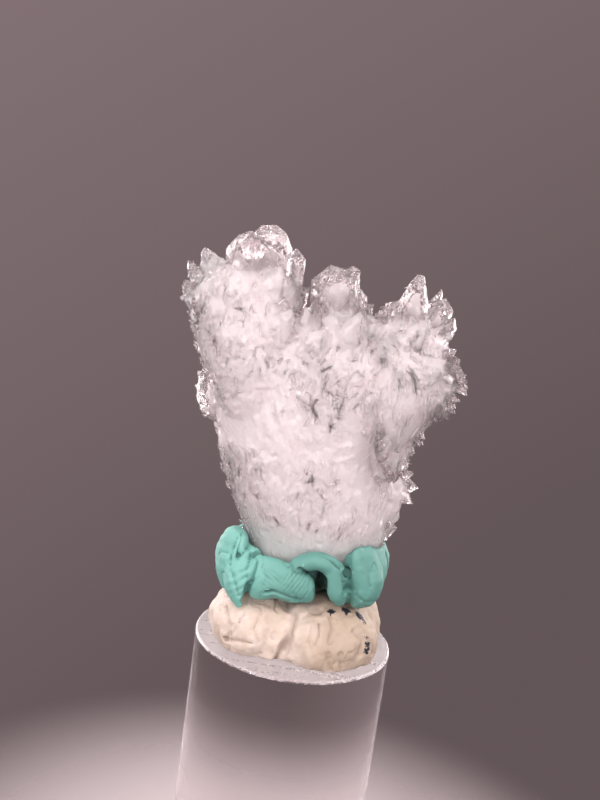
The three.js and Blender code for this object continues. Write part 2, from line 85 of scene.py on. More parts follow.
# Ends of crystals: (share of the width, drop below the tip) along the top edge.
POINTED = ((-0.5, 2.2), (0, 0), (0.5, 2.2))
FLAT = ((-0.5, 0.5), (0.5, 0.1))
SLANTED = ((-0.5, 1.9), (0.32, 0), (0.5, 0.5))
BLUNT = ((-0.5, 0.7), (-0.1, 0), (0.5, 1.1))
LOW = ((-0.5, 0.8), (0.5, 0))
CROWN = ((-0.5, 2.2), (-0.2, 0.2), (0.12, 0), (0.34, 0.9), (0.5, 2.8))
ROUND = ((-0.5, 2.4), (-0.2, 0.7), (0.1, 0), (0.5, 0.4))
SPIRE = ((-0.5, 2.5), (-0.44, 1.7), (0.35, 0), (0.5, 0.6))
BACK_SPIRE = ((-0.5, 2), (0.05, 0), (0.5, 0.5))
SPEAR = ((-0.5, 5), (-0.16, 1), (-0.02, 0), (0.18, 0.1), (0.5, 3.4))

# The large crystals, by where they stand. Each is foot, tip, width, thickness, turn of the
# broad face in degrees, end.
CROWN_FRONT = [
    ((-8.7, 0, 76.5), (-9.5, -0.5, 91.7), 5.6, 2.7, 10, CROWN),
    ((-11.4, -1.5, 77.5), (-12.2, -2.1, 90.8), 4.7, 2.4, -14, ROUND),
]
LEFT_EDGE = [
    ((-13, -0.5, 77.6), (-16.5, -0.6, 88.6), 3, 1.7, 18, BLUNT),
    ((-14, 0, 78.6), (-18.9, 0.4, 86.4), 1.6, 1.1, -10, BLUNT),
    ((-14.2, -1, 77.6), (-18.7, -1.2, 84.4), 2.8, 1.8, 12, BLUNT),
    ((-13.6, 0, 75.6), (-17.9, -0.4, 80.6), 2.4, 1.5, -20, POINTED),
]
CROWN_RIGHT = [
    ((-5.8, -1, 76.8), (-5.9, -1.2, 89.4), 2.2, 1.5, -25, BLUNT),
    ((-5.2, -0.5, 76), (-4.7, -0.4, 85.1), 1.6, 1.1, 15, FLAT),
]
ON_LEFT_ARM = [
    ((-11.2, -4.4, 77.5), (-12.2, -5.6, 86.9), 3.6, 2, 10, BLUNT),
    ((-8.3, -4, 78.5), (-8.7, -5, 88.2), 3.6, 2, -15, SLANTED),
    ((-13.9, -3.4, 77), (-15.8, -4.2, 85.6), 3, 1.6, 8, LOW),
    ((-7.3, -4.4, 74.5), (-6.5, -5.8, 83.6), 3, 1.6, 18, SLANTED),
    ((-11.4, -4.8, 72.5), (-12.4, -6.9, 80.8), 2.8, 1.6, -12, LOW),
    ((-11.4, 2, 77.2), (-14.2, 5.4, 87.2), 3.4, 1.9, 25, SLANTED),
    ((-8.1, 2, 77.7), (-9.4, 4.4, 89.4), 3.9, 2.1, -20, BLUNT),
    ((-7, 2, 72), (-6.6, 8.4, 80.4), 3, 1.8, 20, SLANTED),
]
SPIRES = [
    ((0.3, -2, 74.6), (-1.2, -2.5, 88.2), 5.7, 2.8, 8, SPIRE),
    ((-0.8, 0.6, 75.4), (-2.1, 0.6, 87.8), 4.2, 1.4, -6, BACK_SPIRE),
]
ON_OTHER_ARMS = [
    ((2.4, -1, 74.8), (2.1, -1, 85.8), 1.9, 1.3, 24, BLUNT),
    ((3.7, 0, 74.8), (3.3, 0, 84.1), 1.1, 0.9, 0, FLAT),
    ((1.1, -4, 74), (1.5, -5.6, 84.2), 2.6, 1.6, 12, SLANTED),
    ((-1.8, -4.4, 73), (-2.5, -6.2, 81.8), 2.6, 1.5, -12, LOW),
    ((0.2, 1.6, 74.6), (-0.6, 4.6, 86), 3, 1.7, 15, SLANTED),
    ((7.4, -1, 73.6), (8.5, -1.6, 88.4), 4.2, 2.4, 10, SPEAR),
    ((5.8, -0.5, 73.4), (6.5, -0.6, 85.5), 3.4, 2, -8, SLANTED),
    ((4.9, 0, 73.2), (4.6, 0, 83.9), 1.8, 1.2, 14, SLANTED),
    ((10.7, 0.5, 75.4), (11.2, 0.6, 86.8), 1.5, 0.9, 0, SLANTED),
    ((10.4, 0, 75), (12.5, -0.1, 85.8), 2.4, 1.6, -16, BLUNT),
    ((10.1, 0, 75.2), (13.9, 0, 83.6), 1.9, 1.2, 20, BLUNT),
    ((7.8, -3.6, 74.5), (9.4, -5, 84.6), 3.2, 1.8, 12, SLANTED),
    ((6.2, -3.8, 73.4), (5.5, -5.4, 82.6), 2.6, 1.5, -14, POINTED),
    ((9.4, -4, 72.6), (12, -5.8, 80.4), 2.8, 1.6, 0, LOW),
    ((7.6, 2, 73.4), (8.2, 5.6, 85.2), 3.4, 1.9, -15, SLANTED),
    ((9.4, 2, 73), (13.2, 6.2, 80.2), 2.8, 1.7, 20, LOW),
    ((8.5, -2.6, 72.6), (8.3, -4.4, 62.9), 3, 1.9, 12, POINTED),
    ((9.3, -2, 72.6), (10.5, -3, 64.6), 2.4, 1.4, -14, POINTED),
    ((9.3, -1.6, 73.6), (11.7, -2, 67.6), 2.2, 1.4, 10, BLUNT),
]
RIGHT_KNOB_TIPS = [
    ((8.6, 2, 60), (11.6, 2.5, 63.6), 1.8, 1.2, 0, LOW),
    ((8.6, 2, 59.8), (12.8, 2.5, 61.9), 2, 1.3, 20, LOW),
    ((8.6, 2, 59.6), (12.7, 2.4, 59.9), 1.8, 1.2, -10, LOW),
    ((8, 1, 58.8), (11.5, 1.4, 58), 1.9, 1.2, 12, LOW),
    ((7.2, 0.5, 58.6), (10.6, 0.6, 54.6), 2.6, 1.5, 0, LOW),
]
LEFT_KNOB_TIPS = [
    ((-13.2, 3, 71), (-17.4, 3.4, 70.9), 2.2, 1.4, 10, LOW),
    ((-13.2, 3, 70.6), (-17, 3.4, 68.9), 2, 1.3, -12, LOW),
    ((-13.4, 2.8, 70.4), (-15.8, 3, 67.2), 2, 1.3, 0, LOW),
    ((-13.6, 2.8, 71), (-16.7, 3, 73.6), 1.8, 1.2, 20, LOW),
]
# The low lobe of the right arm: blades that hang from one place.
HANGING_AT = (9, -3.4, 73.5)
HANGING_TIPS = [
    (6.1, -6.7, 68.6), (6.2, -6.9, 67.2), (6.9, -6.8, 65.9), (7.6, -6.5, 64.5),
    (8.7, -6.1, 63.2), (9.4, -5.7, 64.1), (9.9, -5.3, 65.2), (10.5, -4.7, 66.7),
    (11.1, -4.3, 67.9), (11.4, -3.2, 69.2), (11.6, -2.8, 70.3),
]
# The fan's blades start at one place and turn from one angle to the other. Each row is its
# depth and the reach of its blades.
FAN_AT, FAN_FROM, FAN_TO = (8.1, -1.6, 76), 38, -52
FAN_LEFT, FAN_LOWEST, FAN_SPREAD = 5.5, 66, (8.3, -1.5, 77.2)
FAN_ROWS = [
    (-1.6, (7.6, 7.5, 7.7, 8.2, 8.3, 8.2, 8, 7.3, 6.8, 7)),
    (1.2, (7, 7.4, 7.7, 7.4, 6.4)),
]

# Each lump of putty is a centre and half sizes.
WHITE_LUMPS = [
    ((-5.2, -1.6, 42.2), (5.8, 6.8, 4.7)),
    ((3.4, -2.9, 41.7), (7.2, 6.5, 5.4)),
    ((5.5, 2.4, 42), (5.6, 6, 4.9)),
    ((-3, 3.4, 42), (6.6, 5.8, 4.8)),
    ((-2.2, -4.2, 41.6), (4.2, 4, 4)),
]
# Each point is (x, y, z, half thickness outwards, half breadth along the surface).
TEAL_FOLDS = [
    [(-6.2, -4.4, 49.9, 1.5, 2.8), (-9, -1.6, 50, 1.8, 3.2), (-8.8, 2.6, 49.7, 1.9, 2.9),
     (-5, 5.8, 49.7, 2, 3.2), (0.6, 6.8, 49.8, 2, 3.4), (6, 5.4, 50.3, 2, 3.8),
     (8.7, 1.6, 50.7, 1.9, 3.9), (7.9, -2.6, 50.8, 1.9, 3.8), (4.9, -5.3, 50.8, 1.3, 3.3)],
    [(-8.6, -3.6, 47, 0.9, 1.2), (-9, -3.4, 49.4, 1.7, 2.6), (-8.9, -3.3, 52, 1.7, 2.4),
     (-8.7, -3.2, 53.8, 1.4, 2), (-8.6, -3.1, 54.6, 0.7, 1.1)],
    [(-7.5, -4.6, 52.6, 0.7, 0.9), (-8, -5.3, 50.4, 1.4, 2), (-7.9, -5.9, 48.4, 1.4, 1.9),
     (-7.4, -6.4, 46.8, 0.9, 1.1), (-7.2, -6.6, 45.7, 0.25, 0.3)],
    [(-6.5, -5.2, 49.6, 0.8, 2), (-5.4, -6, 49.7, 1.5, 2.8), (-3.2, -6.4, 50, 1.6, 2.6),
     (-0.9, -6.5, 49.5, 1.6, 2.3), (0.9, -6.4, 49.2, 1.3, 1.8), (1.8, -6, 49.1, 0.5, 0.9)],
    [(-1.5, -6.4, 51, 0.6, 0.6), (-0.8, -6.8, 52.3, 1.1, 1), (0.5, -7, 53, 1.2, 1.1),
     (2, -7, 53.2, 1.2, 1.1), (3.4, -6.9, 52.5, 1.2, 1.4), (4, -6.9, 50.9, 1.2, 1.6),
     (4.6, -6.8, 49.3, 1.1, 1.4), (5, -6.6, 47.9, 0.5, 0.6)],
    [(6.9, -5, 47.2, 0.6, 0.9), (7.6, -4.8, 48.6, 1.6, 2.2), (7.9, -4.5, 50.4, 1.9, 2.5),
     (7.3, -4.5, 52.4, 1.6, 2.6), (7, -4.3, 54, 1.1, 2.5), (7, -4.2, 54.8, 0.4, 1.5)],
]
TEAL_PAD = ((0.2, 0.4, 49.3), (7.6, 6, 1.75))
TEAL_FILL = ((2.1, -4.9, 50.3), (1.7, 1.1, 1.7))


def new_object(name, points, faces, smooth=False):
    """A mesh piece from points in millimetres."""
    mesh = bpy.data.meshes.new(name)
    places = (np.asarray(points, float) * MM).tolist()
    mesh.from_pydata(places, [], [list(map(int, f)) for f in faces])
    mesh.update()
    mesh.polygons.foreach_set("use_smooth", [smooth] * len(mesh.polygons))
    made = bpy.data.objects.new(name, mesh)
    bpy.context.scene.collection.objects.link(made)
    return made


def together(parts):
    """Points and faces of several parts as one."""
    points, faces, start = [], [], 0
    for part_points, part_faces in parts:
        points.append(part_points)
        faces += [tuple(i + start for i in f) for f in part_faces]
        start += len(part_points)
    return np.concatenate(points), faces


def circle(sides):
    """Cosine and sine of equal steps once around."""
    angle = TURN * np.arange(sides) / sides
    return np.cos(angle), np.sin(angle)


def loft(rings):
    """Points and faces of a closed body over rings with equally many corners."""
    sides = len(rings[0])
    points = np.concatenate([*rings, [np.mean(rings[0], 0)], [np.mean(rings[-1], 0)]])
    first, last = len(points) - 2, len(points) - 1
    faces = []
    for level in range(len(rings)):
        for i in range(sides):
            a, b = level * sides + i, level * sides + (i + 1) % sides
            if level == 0:
                faces.append((first, b, a))
            if level == len(rings) - 1:
                faces.append((last, a, b))
            else:
                faces.append((a, b, b + sides, a + sides))
    return points, faces


def evaluated(made):
    return made.evaluated_get(bpy.context.evaluated_depsgraph_get())


def applied(made):
    final = bpy.data.meshes.new_from_object(evaluated(made))
    made.modifiers.clear()
    made.data = final
    return made


def remeshed(name, parts, voxel, relax, most=None):
    """The parts joined into one relaxed skin of at most so many triangles."""
    made = new_object(name, *together(parts), smooth=True)
    remesh = made.modifiers.new("join", "REMESH")
    remesh.mode = "VOXEL"
    remesh.voxel_size = voxel * MM
    remesh.use_smooth_shade = True
    soft = made.modifiers.new("relax", "SMOOTH")
    soft.factor = 0.5
    soft.iterations = relax
    if most:
        full = sum(len(p.vertices) - 2 for p in evaluated(made).data.polygons)
        made.modifiers.new("thin", "DECIMATE").ratio = min(1, most / full)
    return applied(made)


def triples(values, key):
    found = np.empty(3 * len(values), np.float32)
    values.foreach_get(key, found)
    return found.reshape(-1, 3).astype(float)


def points_of(made):
    return triples(made.data.vertices, "co") / MM


def normals_of(made):
    return triples(made.data.vertex_normals, "vector")


def set_points(made, points):
    made.data.vertices.foreach_set("co", (points * MM).astype(np.float32).ravel())
    made.data.update()


NOISE_TABLE = 4096
HASH_X, HASH_Y, HASH_Z = 73856093, 19349663, 83492791


def value_noise(points, size, seed):
    """Smooth noise from -1 to 1 with features of that size."""
    table = np.random.default_rng(seed).uniform(-1, 1, NOISE_TABLE)
    scaled = points / size + 100
    cell = np.floor(scaled).astype(int)
    part = scaled - cell
    part = part * part * (3 - 2 * part)
    total = np.zeros(len(points))
    for corner in range(8):
        offset = np.array([corner & 1, corner >> 1 & 1, corner >> 2 & 1])
        at = cell + offset
        key = (at[:, 0] * HASH_X ^ at[:, 1] * HASH_Y ^ at[:, 2] * HASH_Z) & (NOISE_TABLE - 1)
        weight = np.prod(np.where(offset == 1, part, 1 - part), axis=1)
        total += weight * table[key]
    return total


def noises(points, *kinds):
    """The sum of value noises of (height, size, seed)."""
    return sum(height * value_noise(points, size, seed) for height, size, seed in kinds)


def distance_to_line(points, line):
    """Distance of each point from a polyline."""
    line = np.asarray(line, float)
    nearest = np.full(len(points), 1e9)
    for a, b in zip(line[:-1], line[1:]):
        along = b - a
        share = np.clip((points - a) @ along / (along @ along), 0, 1)
        gap = np.linalg.norm(points - a - share[:, None] * along, axis=1)
        nearest = np.minimum(nearest, gap)
    return nearest


def catmull_rom(points, steps):
    """A smooth path through the points, with that many steps between each two."""
    p = np.asarray(points, float)
    padded = np.concatenate([[2 * p[0] - p[1]], p, [2 * p[-1] - p[-2]]])
    out = []
    for i in range(len(p) - 1):
        a, b, c, d = padded[i:i + 4]
        for t in np.arange(steps) / steps:
            out.append(0.5 * (2 * b + (c - a) * t + (2 * a - 5 * b + 4 * c - d) * t * t
                              + (3 * b - a - 3 * c + d) * t ** 3))
    out.append(p[-1])
    return np.array(out)


# Half the share of its width that a crystal's broad face takes, and the fall of its end
# faces towards the front and back.
SHOULDER, RIDGE_SLOPE = 0.36, 1.25
SIX_CORNERS = ((-0.5, 0), (-SHOULDER, -1), (SHOULDER, -1), (0.5, 0), (SHOULDER, 1), (-SHOULDER, 1))
STREAM_STEP, WORD = 0x6D2B79F5, 0xFFFFFFFF


def random_stream(seed):
    """The same repeatable numbers as the source's solids use."""
    state = [seed]

    def following():
        state[0] = (state[0] + STREAM_STEP) & WORD
        t = state[0]
        t = ((t ^ (t >> 15)) * (1 | t)) & WORD
        t = ((t + ((t ^ (t >> 7)) * (61 | t))) ^ t) & WORD
        return ((t ^ (t >> 14)) & WORD) / (WORD + 1)

    return following


def unit(v):
    v = np.asarray(v, float)
    return v / np.maximum(np.linalg.norm(v, axis=-1, keepdims=True), 1e-12)


def square_to(axis, v):
    """Directions of the parts of v that are square to the axis."""
    return unit(v - (v * axis).sum(1, keepdims=True) * axis)


def crystal_basis(axis, turn):
    """Across and through directions of crystals that point along axis, turned by degrees."""
    axis = np.atleast_2d(axis)
    steep = np.abs(axis[:, 1]) > 0.9
    to_viewer = np.where(steep[:, None], [[0, 0, 1]], [[0, -1, 0]])
    normal = square_to(axis, to_viewer)
    angle = np.radians(np.atleast_1d(turn))[:, None]
    normal = normal * np.cos(angle) + np.cross(axis, normal) * np.sin(angle)
    return np.cross(axis, normal), -normal


def crystal(foot, tip, width, thick, turn, ridge):
    """Points and faces of one flattened six-sided crystal with a chisel end."""
    foot, tip = np.array(foot, float), np.array(tip, float)
    length = np.linalg.norm(tip - foot)
    axis = (tip - foot) / length
    across_axis, through_axis = (v[0] for v in crystal_basis(axis, turn))
    half = thick / 2
    xs, drops = zip(*ridge)

    def top(across, through):
        height = length - np.interp(across, xs, drops) - RIDGE_SLOPE * abs(through)
        return (across * width, through, height)

    corners = [(x, y * half) for x, y in SIX_CORNERS]
    inner = [x for x in xs if abs(x) < SHOULDER]
    local = [(x * width, y, 0) for x, y in corners] + [top(x, y) for x, y in corners]
    rows = []
    for start, through, end in ((7, -half, 8), (6, 0, 9), (11, half, 10)):
        row = [start]
        for x in inner:
            row.append(len(local))
            local.append(top(x, through))
        rows.append([*row, end])
    near, edge, far = rows
    faces = [(5, 4, 3, 2, 1, 0), (1, 2, *near[::-1]), (4, 5, *far)]
    faces += [(i, (i + 1) % 6, (i + 1) % 6 + 6, i + 6) for i in (0, 2, 3, 5)]
    for k in range(len(inner) + 1):
        faces.append((edge[k], near[k], near[k + 1], edge[k + 1]))
        faces.append((edge[k], edge[k + 1], far[k + 1], far[k]))
    local = np.array(local)
    placed = foot + local[:, :1] * across_axis
    return placed + local[:, 1:2] * through_axis + local[:, 2:] * axis, faces


def sides_at(levels, z):
    """Left, right, front and back of a mass at one or many heights."""
    heights, *sides = zip(*levels)
    return [np.interp(z, heights, side) for side in sides]


def slice_at(levels, z):
    """(x, y, half width, half depth) of a mass at a height, or None."""
    if not levels[0][0] <= z < levels[-1][0]:
        return None
    left, right, front, back = sides_at(levels, z)
    return (left + right) / 2, (front + back) / 2, (right - left) / 2, (back - front) / 2


def is_inside(levels, point):
    found = slice_at(levels, point[2])
    if found is None:
        return False
    x, y, a, b = found
    return math.hypot((point[0] - x) / a, (point[1] - y) / b) < 0.97


ROW_HEIGHT, CRYSTAL_PITCH, ROOT_DEPTH = 4.6, 8, 2.8
PUTTY_LINE = 55.8


def medium_crystals():
    """The medium crystals of the source's solid, in the same places."""
    following = random_stream(20)
    made = []
    for spread, levels in MASSES.values():
        bottom, top = levels[0][0] + 1, levels[-1][0]
        count = math.ceil((top - bottom) / ROW_HEIGHT)
        rows = [(bottom + i * ROW_HEIGHT, 1) for i in range(count)] + [(top - 0.1, 0.5)]
        for z, inset in rows:
            x, y, a, b = slice_at(levels, z)
            count = max(3, math.floor(math.pi * (a + b) * inset / CRYSTAL_PITCH + 0.5))
            start = following()
            for i in range(count):
                angle = TURN * (i + start + 0.4 * following()) / count
                height = z + 1.6 * (following() - 0.5)
                reach = np.array([a * math.cos(angle), b * math.sin(angle), 0])
                skin = np.array([x, y, height]) + reach * inset
                outward = unit(np.array([reach[0] / (a * a), reach[1] / (b * b), 0]))
                growth = unit(skin - np.array(spread))
                stray = np.array([following() - 0.5, following() - 0.5, following() - 0.5])
                axis = unit(growth + 0.6 * outward + 0.9 * stray)
                width = 1.6 + 1.4 * following()
                foot, tip = skin - ROOT_DEPTH * axis, skin + (0.7 * following() - 0.1) * axis
                turn = 180 * following()
                masses = [other for _, other in MASSES.values()]
                hidden = any(is_inside(m, skin) for m in masses if m is not levels)
                rooted = any(is_inside(m, foot) for m in masses)
                if height > PUTTY_LINE and rooted and not hidden:
                    end = LOW if i % 2 else FLAT
                    made.append((foot, tip, width, width / 2, turn, end))
    return made


def fan_crystals(each, width, shorter, turn):
    """Blades of the fan: so many for each of the solid's, of those widths, inside its reach."""
    made = []
    for depth, reaches in FAN_ROWS:
        count = round(len(reaches) * each)
        for i in range(count):
            share = i / (count - 1)
            angle = math.radians(FAN_FROM + (FAN_TO - FAN_FROM) * share + rng.uniform(-1.5, 1.5))
            reach = np.interp(share * (len(reaches) - 1), range(len(reaches)), reaches)
            reach -= shorter * rng.random() ** 1.5
            y = FAN_AT[1] + 1.4 * depth + rng.uniform(-0.8, 0.8)
            tip = (FAN_AT[0] + math.cos(angle) * reach, y, FAN_AT[2] + math.sin(angle) * reach)
            broad = rng.uniform(*width)
            end = BLUNT if i % 2 else FLAT
            made.append((FAN_AT, tip, broad, 0.6 * broad, rng.uniform(-turn, turn), end))
    return made


def rim_blades(mass, side, low, high, pitch):
    """Small clear blades that fringe one edge of a mass between two heights."""
    spread, levels = MASSES[mass]
    made = []
    for z in np.arange(low, high, pitch):
        x, y, half, depth = slice_at(levels, z)
        round_by = rng.uniform(-0.6, 0.3)
        skin = np.array([x + side * half * math.sqrt(1 - round_by ** 2), y + round_by * depth, z])
        sideways = np.array([side * rng.uniform(0, 0.5), 0, 0])
        axis = unit(unit(skin - np.array(spread)) + sideways)
        broad = rng.uniform(0.6, 1.4)
        tip = skin + rng.uniform(0.3, 0.85) * axis
        turn = rng.uniform(-50, 50)
        made.append((skin - 2 * axis, tip, broad, 0.55 * broad, turn, BLUNT))
    return made


def split(one, count, spread, short):
    """A crystal as a bundle of thinner ones whose tips lie a little apart."""
    foot, tip, width, thick, turn, _ = one
    made = []
    for _ in range(count):
        end = np.array(tip) + rng.uniform(-spread, spread, 3)
        end += (np.array(foot) - end) * short * rng.random()
        thin = rng.uniform(0.6, 1)
        turned = turn + rng.uniform(-40, 40)
        made.append((foot, tuple(end), width * thin, thick * thin, turned, BLUNT))
    return made


def many_crystals(foot, axis, facing, length, width, thick, drop):
    """Points and triangles of many small crystals whose broad faces look along facing."""
    through = -square_to(axis, facing)
    across = np.cross(through, axis)
    half = thick / 2
    slope = RIDGE_SLOPE * half
    points = np.empty((len(foot), 12, 3))
    for i, (x, y) in enumerate(SIX_CORNERS):
        side = foot + (x * width)[:, None] * across + (y * half)[:, None] * through
        points[:, i] = side
        height = length - drop * (0.5 - x) - slope * abs(y)
        points[:, i + 6] = side + height[:, None] * axis
    faces = [(0, 5, 4), (0, 4, 3), (0, 3, 2), (0, 2, 1)]
    for i in range(6):
        n = (i + 1) % 6
        faces += [(i, n, n + 6), (i, n + 6, i + 6)]
    faces += [(6, 7, 9), (7, 8, 9), (6, 9, 11), (11, 9, 10)]
    starts = 12 * np.arange(len(foot))[:, None, None]
    return points.reshape(-1, 3), (np.array(faces) + starts).reshape(-1, 3)


TOP_SPAN, TOP_INWARD, TOP_LOWER = 7, 1.3, 1.2


def mass_body(name, inward):
    """A mass, drawn in by that much and a little more towards its top."""
    levels, sides, rings = MASSES[name][1], 24, []
    for z, left, right, front, back in levels:
        across, through = circle(sides)
        x, y = (left + right) / 2, (front + back) / 2
        more = inward + np.interp(z - levels[-1][0], [-TOP_SPAN, 0], [0, TOP_INWARD])
        a, b = max((right - left) / 2 - more, 0.5), max((back - front) / 2 - more, 0.5)
        rings.append(np.stack([x + a * across, y + b * through, np.full(sides, z)], 1))
    rings[0][:, 2] += inward
    rings[-1][:, 2] -= inward + TOP_LOWER
    return loft(rings)


def rough_body(inward, **others):
    """The six masses, drawn in by so much, and some of them by a measure of their own."""
    return [mass_body(name, others.get(name, inward)) for name in MASSES]


class Nodes:
    """Short ways to add nodes to a tree. An input is a value or another node's output."""

    def __init__(self, tree):
        self.tree = tree

    def plug(self, socket, value):
        if isinstance(value, bpy.types.NodeSocket):
            self.tree.links.new(value, socket)
        else:
            socket.default_value = (*value, 1) if socket.type == "RGBA" else value

    def fill(self, node, inputs):
        for name, value in inputs.items():
            self.plug(node.inputs[name.replace("_", " ")], value)
        return node

    def add(self, kind, **inputs):
        return self.fill(self.tree.nodes.new(kind), inputs)

    def operation(self, node_kind, kind, values):
        node = self.tree.nodes.new(node_kind)
        node.operation = kind
        for socket, value in zip(node.inputs, values):
            self.plug(socket, value)
        return node

    def maths(self, kind, *values):
        return self.operation("ShaderNodeMath", kind, values).outputs[0]

    def vector(self, kind, *values):
        node = self.operation("ShaderNodeVectorMath", kind, values)
        is_number = kind in ("DOT_PRODUCT", "LENGTH", "DISTANCE")
        return node.outputs["Value" if is_number else "Vector"]

    def axis(self, vector, name):
        return self.add("ShaderNodeSeparateXYZ", Vector=vector).outputs[name]

    def mix(self, share, a, b):
        node = self.tree.nodes.new("ShaderNodeMix")
        node.data_type = "RGBA"
        for i, value in ((0, share), (6, a), (7, b)):
            self.plug(node.inputs[i], value)
        return node.outputs[2]

    def range(self, value, low, high, to_low=0, to_high=1, shape="SMOOTHSTEP"):
        node = self.add("ShaderNodeMapRange", Value=value, From_Min=low, From_Max=high,
                        To_Min=to_low, To_Max=to_high)
        node.interpolation_type = shape
        return node.outputs["Result"]


class Shader(Nodes):
    """A material with one Principled shader and patterns laid out in millimetres."""

    def __init__(self, name):
        self.material = bpy.data.materials.new(name)
        self.material.use_nodes = True
        super().__init__(self.material.node_tree)
        self.principled = self.tree.nodes["Principled BSDF"]
        where = self.add("ShaderNodeTexCoord").outputs["Object"]
        self.at = self.mapped(where, Scale=(1 / MM, 1 / MM, 1 / MM))

    def mapped(self, at, **changes):
        return self.add("ShaderNodeMapping", Vector=at, **changes).outputs[0]

    def noise(self, scale, detail=3, roughness=0.5, at=None, distortion=0):
        node = self.add("ShaderNodeTexNoise", Vector=at or self.at, Scale=scale, Detail=detail,
                        Roughness=roughness, Distortion=distortion)
        return node.outputs["Fac"]

    def bump(self, height, distance, strength=1, normal=None):
        node = self.add("ShaderNodeBump", Height=height, Strength=strength, Distance=distance * MM)
        if normal is not None:
            self.plug(node.inputs["Normal"], normal)
        return node.outputs["Normal"]

    def tilted_cells(self, at):
        """Height of flat patches that each lean their own way, and each patch's colour."""
        cells = self.add("ShaderNodeTexVoronoi", Vector=at, Scale=1)
        gap = self.vector("SUBTRACT", at, cells.outputs["Position"])
        lean = self.vector("SUBTRACT", cells.outputs["Color"], (0.5, 0.5, 0.5))
        return self.vector("DOT_PRODUCT", gap, lean), cells.outputs["Color"]

    def facets(self, scale, tilt, wander, normal=None):
        """Tilts the surface in flat patches, as the faces of many small crystals."""
        shift = self.add("ShaderNodeTexNoise", Vector=self.at, Scale=0.35, Detail=1)
        at = self.vector("MULTIPLY_ADD", shift.outputs["Color"], (wander, wander, wander),
                         self.mapped(self.at, Scale=scale))
        return self.bump(self.tilted_cells(at)[0], tilt, 1, normal)

    def needles(self, across, along, leans):
        """Height and tone of crossing bundles of needles, each shown where a slow noise lets it."""
        height, tone = 0, 0.5
        for i, lean in enumerate(leans):
            turned = self.mapped(self.at, Rotation=(0.2 * i, lean, 0))
            cells, colour = self.tilted_cells(self.mapped(turned, Scale=(across, across, along)))
            shifted = self.vector("ADD", self.at, (17 * i, 0, 0))
            shows = self.range(self.noise(0.4, 2, at=shifted), 0.46, 0.54)
            height = self.mixed(shows, height, cells)
            tone = self.mixed(shows, tone, self.vector("DOT_PRODUCT", colour, (0.4, 0.3, 0.3)))
        return height, tone

    def mixed(self, share, a, b):
        return self.maths("MULTIPLY_ADD", self.maths("SUBTRACT", b, a), share, a)

    def set(self, **inputs):
        self.fill(self.principled, inputs)
        return self.material

    def scatter(self, weight, radius, depth):
        self.set(Subsurface_Weight=weight, Subsurface_Radius=radius, Subsurface_Scale=depth * MM)


def milky_crystal():
    """Crowded crystals, whose many joins scatter the light: soft, with faint small faces, and a
    painted teal cast at the foot, as if the putty showed through.
    """
    s = Shader("creedite_milky")
    height = s.maths("MULTIPLY_ADD", s.noise(0.5, 2), 4, s.axis(s.at, "Z"))
    # Painted light: towards the foot the colour turns teal, as if the teal putty showed through the
    # crystals.
    foot = s.range(height, 54.8, 60, 1, 0)
    white = s.mix(s.noise(0.35, 4, 0.6), (0.99, 0.86, 0.87), (1, 0.9, 0.907))
    tint = s.mix(s.maths("MULTIPLY", foot, 0.8), white, (0.5, 0.7, 0.65))
    normal = s.facets((1.5, 1.5, 0.7), 0.1, 3)
    normal = s.facets((3, 3, 1.8), 0.05, 2, normal)
    s.scatter(1, (1, 1, 1), 4.5)
    return s.set(Base_Color=tint, Roughness=s.range(s.noise(0.9), 0.35, 0.7, 0.12, 0.3),
                 Normal=normal, IOR=1.47)


def clear_crystal(name, clarity, step, needled=0, glow=0):
    """Colourless crystal: glassy faces with fine growth steps, and needles grown over them."""
    s = Shader(name)
    normal = s.bump(s.noise(1.6, 3, 0.6), step, 0.5)
    tint = s.mix(s.noise(0.35, 2), (1, 0.935, 0.942), (1, 0.965, 0.972))
    if needled:
        height, tone = s.needles(2.4, 0.5, (0.1, 0.75, -0.7, 0.35))
        normal = s.bump(height, needled, 1, normal)
        tint = s.mix(s.range(tone, 0.3, 0.6, 0.3, 0), tint, (0.86, 0.775, 0.785))
    cells = s.add("ShaderNodeTexVoronoi", Vector=s.at, Scale=2.4)
    normal = s.bump(s.range(cells.outputs["Distance"], 0.02, 0.12), 0.03, 0.5, normal)
    s.scatter(glow, (1, 1, 1), 2)
    return s.set(Base_Color=tint, Roughness=s.range(s.noise(0.7), 0.35, 0.7, 0.02, 0.12),
                 Normal=normal, IOR=1.46, Transmission_Weight=clarity)


